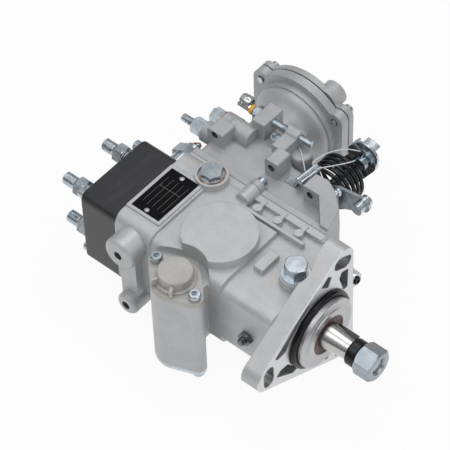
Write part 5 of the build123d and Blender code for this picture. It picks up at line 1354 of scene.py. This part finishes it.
@dataclass(frozen=True)
class Studio:
    """Plain pale floor, soft lamps and the camera at the photograph's angle."""

    azimuth: float = 42.0
    elevation: float = 49.8
    roll: float = -2.1
    focal_px: float = 2400.0
    frame_px: float = 450.0
    px_per_mm: float = 1.185
    sensor: float = 36.0
    anchor_px: tuple[float, float] = (305.4, 319.9)
    anchor_x: float = 14.3
    floor_half: float = 6.0
    floor_glow: float = 0.93
    lamp_target: Point = (-0.1, 0.05, 0.0)
    lamps: tuple = (
        ("top_lamp", (-0.25, 0.45, 1.5), 0.9, 5.4),
        ("right_lamp", (1.3, 0.05, 0.75), 1.2, 4.3),
        ("left_lamp", (-0.35, -0.6, 1.3), 0.8, 3.4),
    )

    def camera(self) -> None:
        """Stand the camera so that the anchor point of the shaft falls on its pixel."""
        a, e, roll = (radians(v) for v in (self.azimuth, self.elevation, self.roll))
        back = np.array([sin(a) * cos(e), -cos(a) * cos(e), sin(e)])
        right = np.array([cos(a), sin(a), 0.0])
        up = np.cross(back, right)
        turned_right = cos(roll) * right + sin(roll) * up
        axes = np.array([turned_right, cos(roll) * up - sin(roll) * right, back])
        across, down = (pixel - self.frame_px / 2 for pixel in self.anchor_px)
        seen = np.array([across, -down, -self.focal_px]) / self.px_per_mm
        place = -axes.T @ (seen + axes @ np.array([self.anchor_x, 0.0, 0.0]))
        data = bpy.data.cameras.new("photo_camera")
        data.sensor_width = self.sensor
        data.lens = self.focal_px / self.frame_px * self.sensor
        data.clip_start = 0.05
        data.clip_end = 50.0
        camera = bpy.data.objects.new("photo_camera", data)
        matrix = Matrix(axes.T.tolist()).to_4x4()
        matrix.translation = Vector((place * MM).tolist())
        camera.matrix_world = matrix
        bpy.context.scene.collection.objects.link(camera)
        bpy.context.scene.camera = camera

    def floor(self, height: float) -> None:
        """Lay a pale floor that shows white to the camera and in reflections, with its shadow."""
        graph = Graph("pale_floor")
        matt = graph.node("ShaderNodeBsdfDiffuse", {"Color": (0.92, 0.92, 0.92, 1.0)})
        glow = graph.node("ShaderNodeEmission", {"Color": (1, 1, 1, 1), "Strength": 1.0})
        rays = graph.node("ShaderNodeLightPath").outputs
        kinds = ("Is Camera Ray", "Is Glossy Ray", "Is Transmission Ray")
        seen = reduce(Signal.highest, [Signal(graph, rays[kind]) for kind in kinds])
        inputs = {0: seen * self.floor_glow, 1: matt.outputs[0], 2: glow.outputs[0]}
        graph.close(graph.node("ShaderNodeMixShader", inputs))
        mesh = bpy.data.meshes.new("floor")
        half = self.floor_half
        corners = [(x * half, y * half, height) for x, y in ((-1, -1), (1, -1), (1, 1), (-1, 1))]
        mesh.from_pydata(corners, [], [(0, 1, 2, 3)])
        mesh.materials.append(graph.owner)
        floor = bpy.data.objects.new("floor", mesh)
        bpy.context.scene.collection.objects.link(floor)
        floor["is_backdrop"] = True

    def lamp(self, name: str, place: Point, size: float, power: float) -> None:
        """Hang a square soft lamp that faces the pump."""
        data = bpy.data.lights.new(name, "AREA")
        data.energy = power
        data.size = size
        lamp = bpy.data.objects.new(name, data)
        lamp.location = Vector(place)
        lamp.rotation_mode = "QUATERNION"
        way = Vector(self.lamp_target) - lamp.location
        lamp.rotation_quaternion = way.to_track_quat("-Z", "Y")
        bpy.context.scene.collection.objects.link(lamp)

    def world(self) -> None:
        """White surroundings to the camera; as a light, softer above than at the horizon."""
        graph = Graph("studio", world=True)
        bpy.context.scene.world = graph.owner
        way = graph.node("ShaderNodeTexCoord").outputs["Generated"]
        rise = graph.node("ShaderNodeSeparateXYZ", {0: way}).outputs[2]
        stops = ((0.02, (0.10, 0.105, 0.11, 1.0)), (0.55, (0.96, 0.98, 1.0, 1.0)))
        ramp = graph.node("ShaderNodeValToRGB", {0: rise}, stops=stops)
        shade = graph.node("ShaderNodeBackground", {"Color": ramp.outputs[0], "Strength": 0.50})
        white = graph.node("ShaderNodeBackground", {"Color": (1, 1, 1, 1)})
        seen = graph.node("ShaderNodeLightPath").outputs["Is Camera Ray"]
        inputs = {0: seen, 1: shade.outputs[0], 2: white.outputs[0]}
        graph.close(graph.node("ShaderNodeMixShader", inputs))

    def build(self, lowest: float) -> None:
        """Set the view transform, camera, floor, lamps and world."""
        bpy.context.scene.view_settings.view_transform = "Standard"
        self.camera()
        self.floor(lowest)
        for lamp in self.lamps:
            self.lamp(*lamp)
        self.world()


def main(frame: dict) -> None:
    """Build every sub-assembly in order, then the stage."""
    logging.basicConfig(level=logging.INFO, format="%(name)s %(message)s")
    before = [list(corner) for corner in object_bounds()]
    paint = finishes()
    kinds = (Castings, OutletHolders, StopScrew, RearAdjuster, ReturnSpring, WorkingSprings)
    kinds += (SpringBracket, LockWires, LeverEnds, Nameplate, SolenoidLead, GovernorShaftNut)
    for kind in (*kinds, EarPillar, FloorScrew):
        assembly = kind(frame, paint)
        assembly.build()
        for name in assembly.made:
            LOG.info("%s: %s", kind.__name__, name)
    Studio().build(before[0][2])


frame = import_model()
if __name__ == "__main__":
    main(frame)
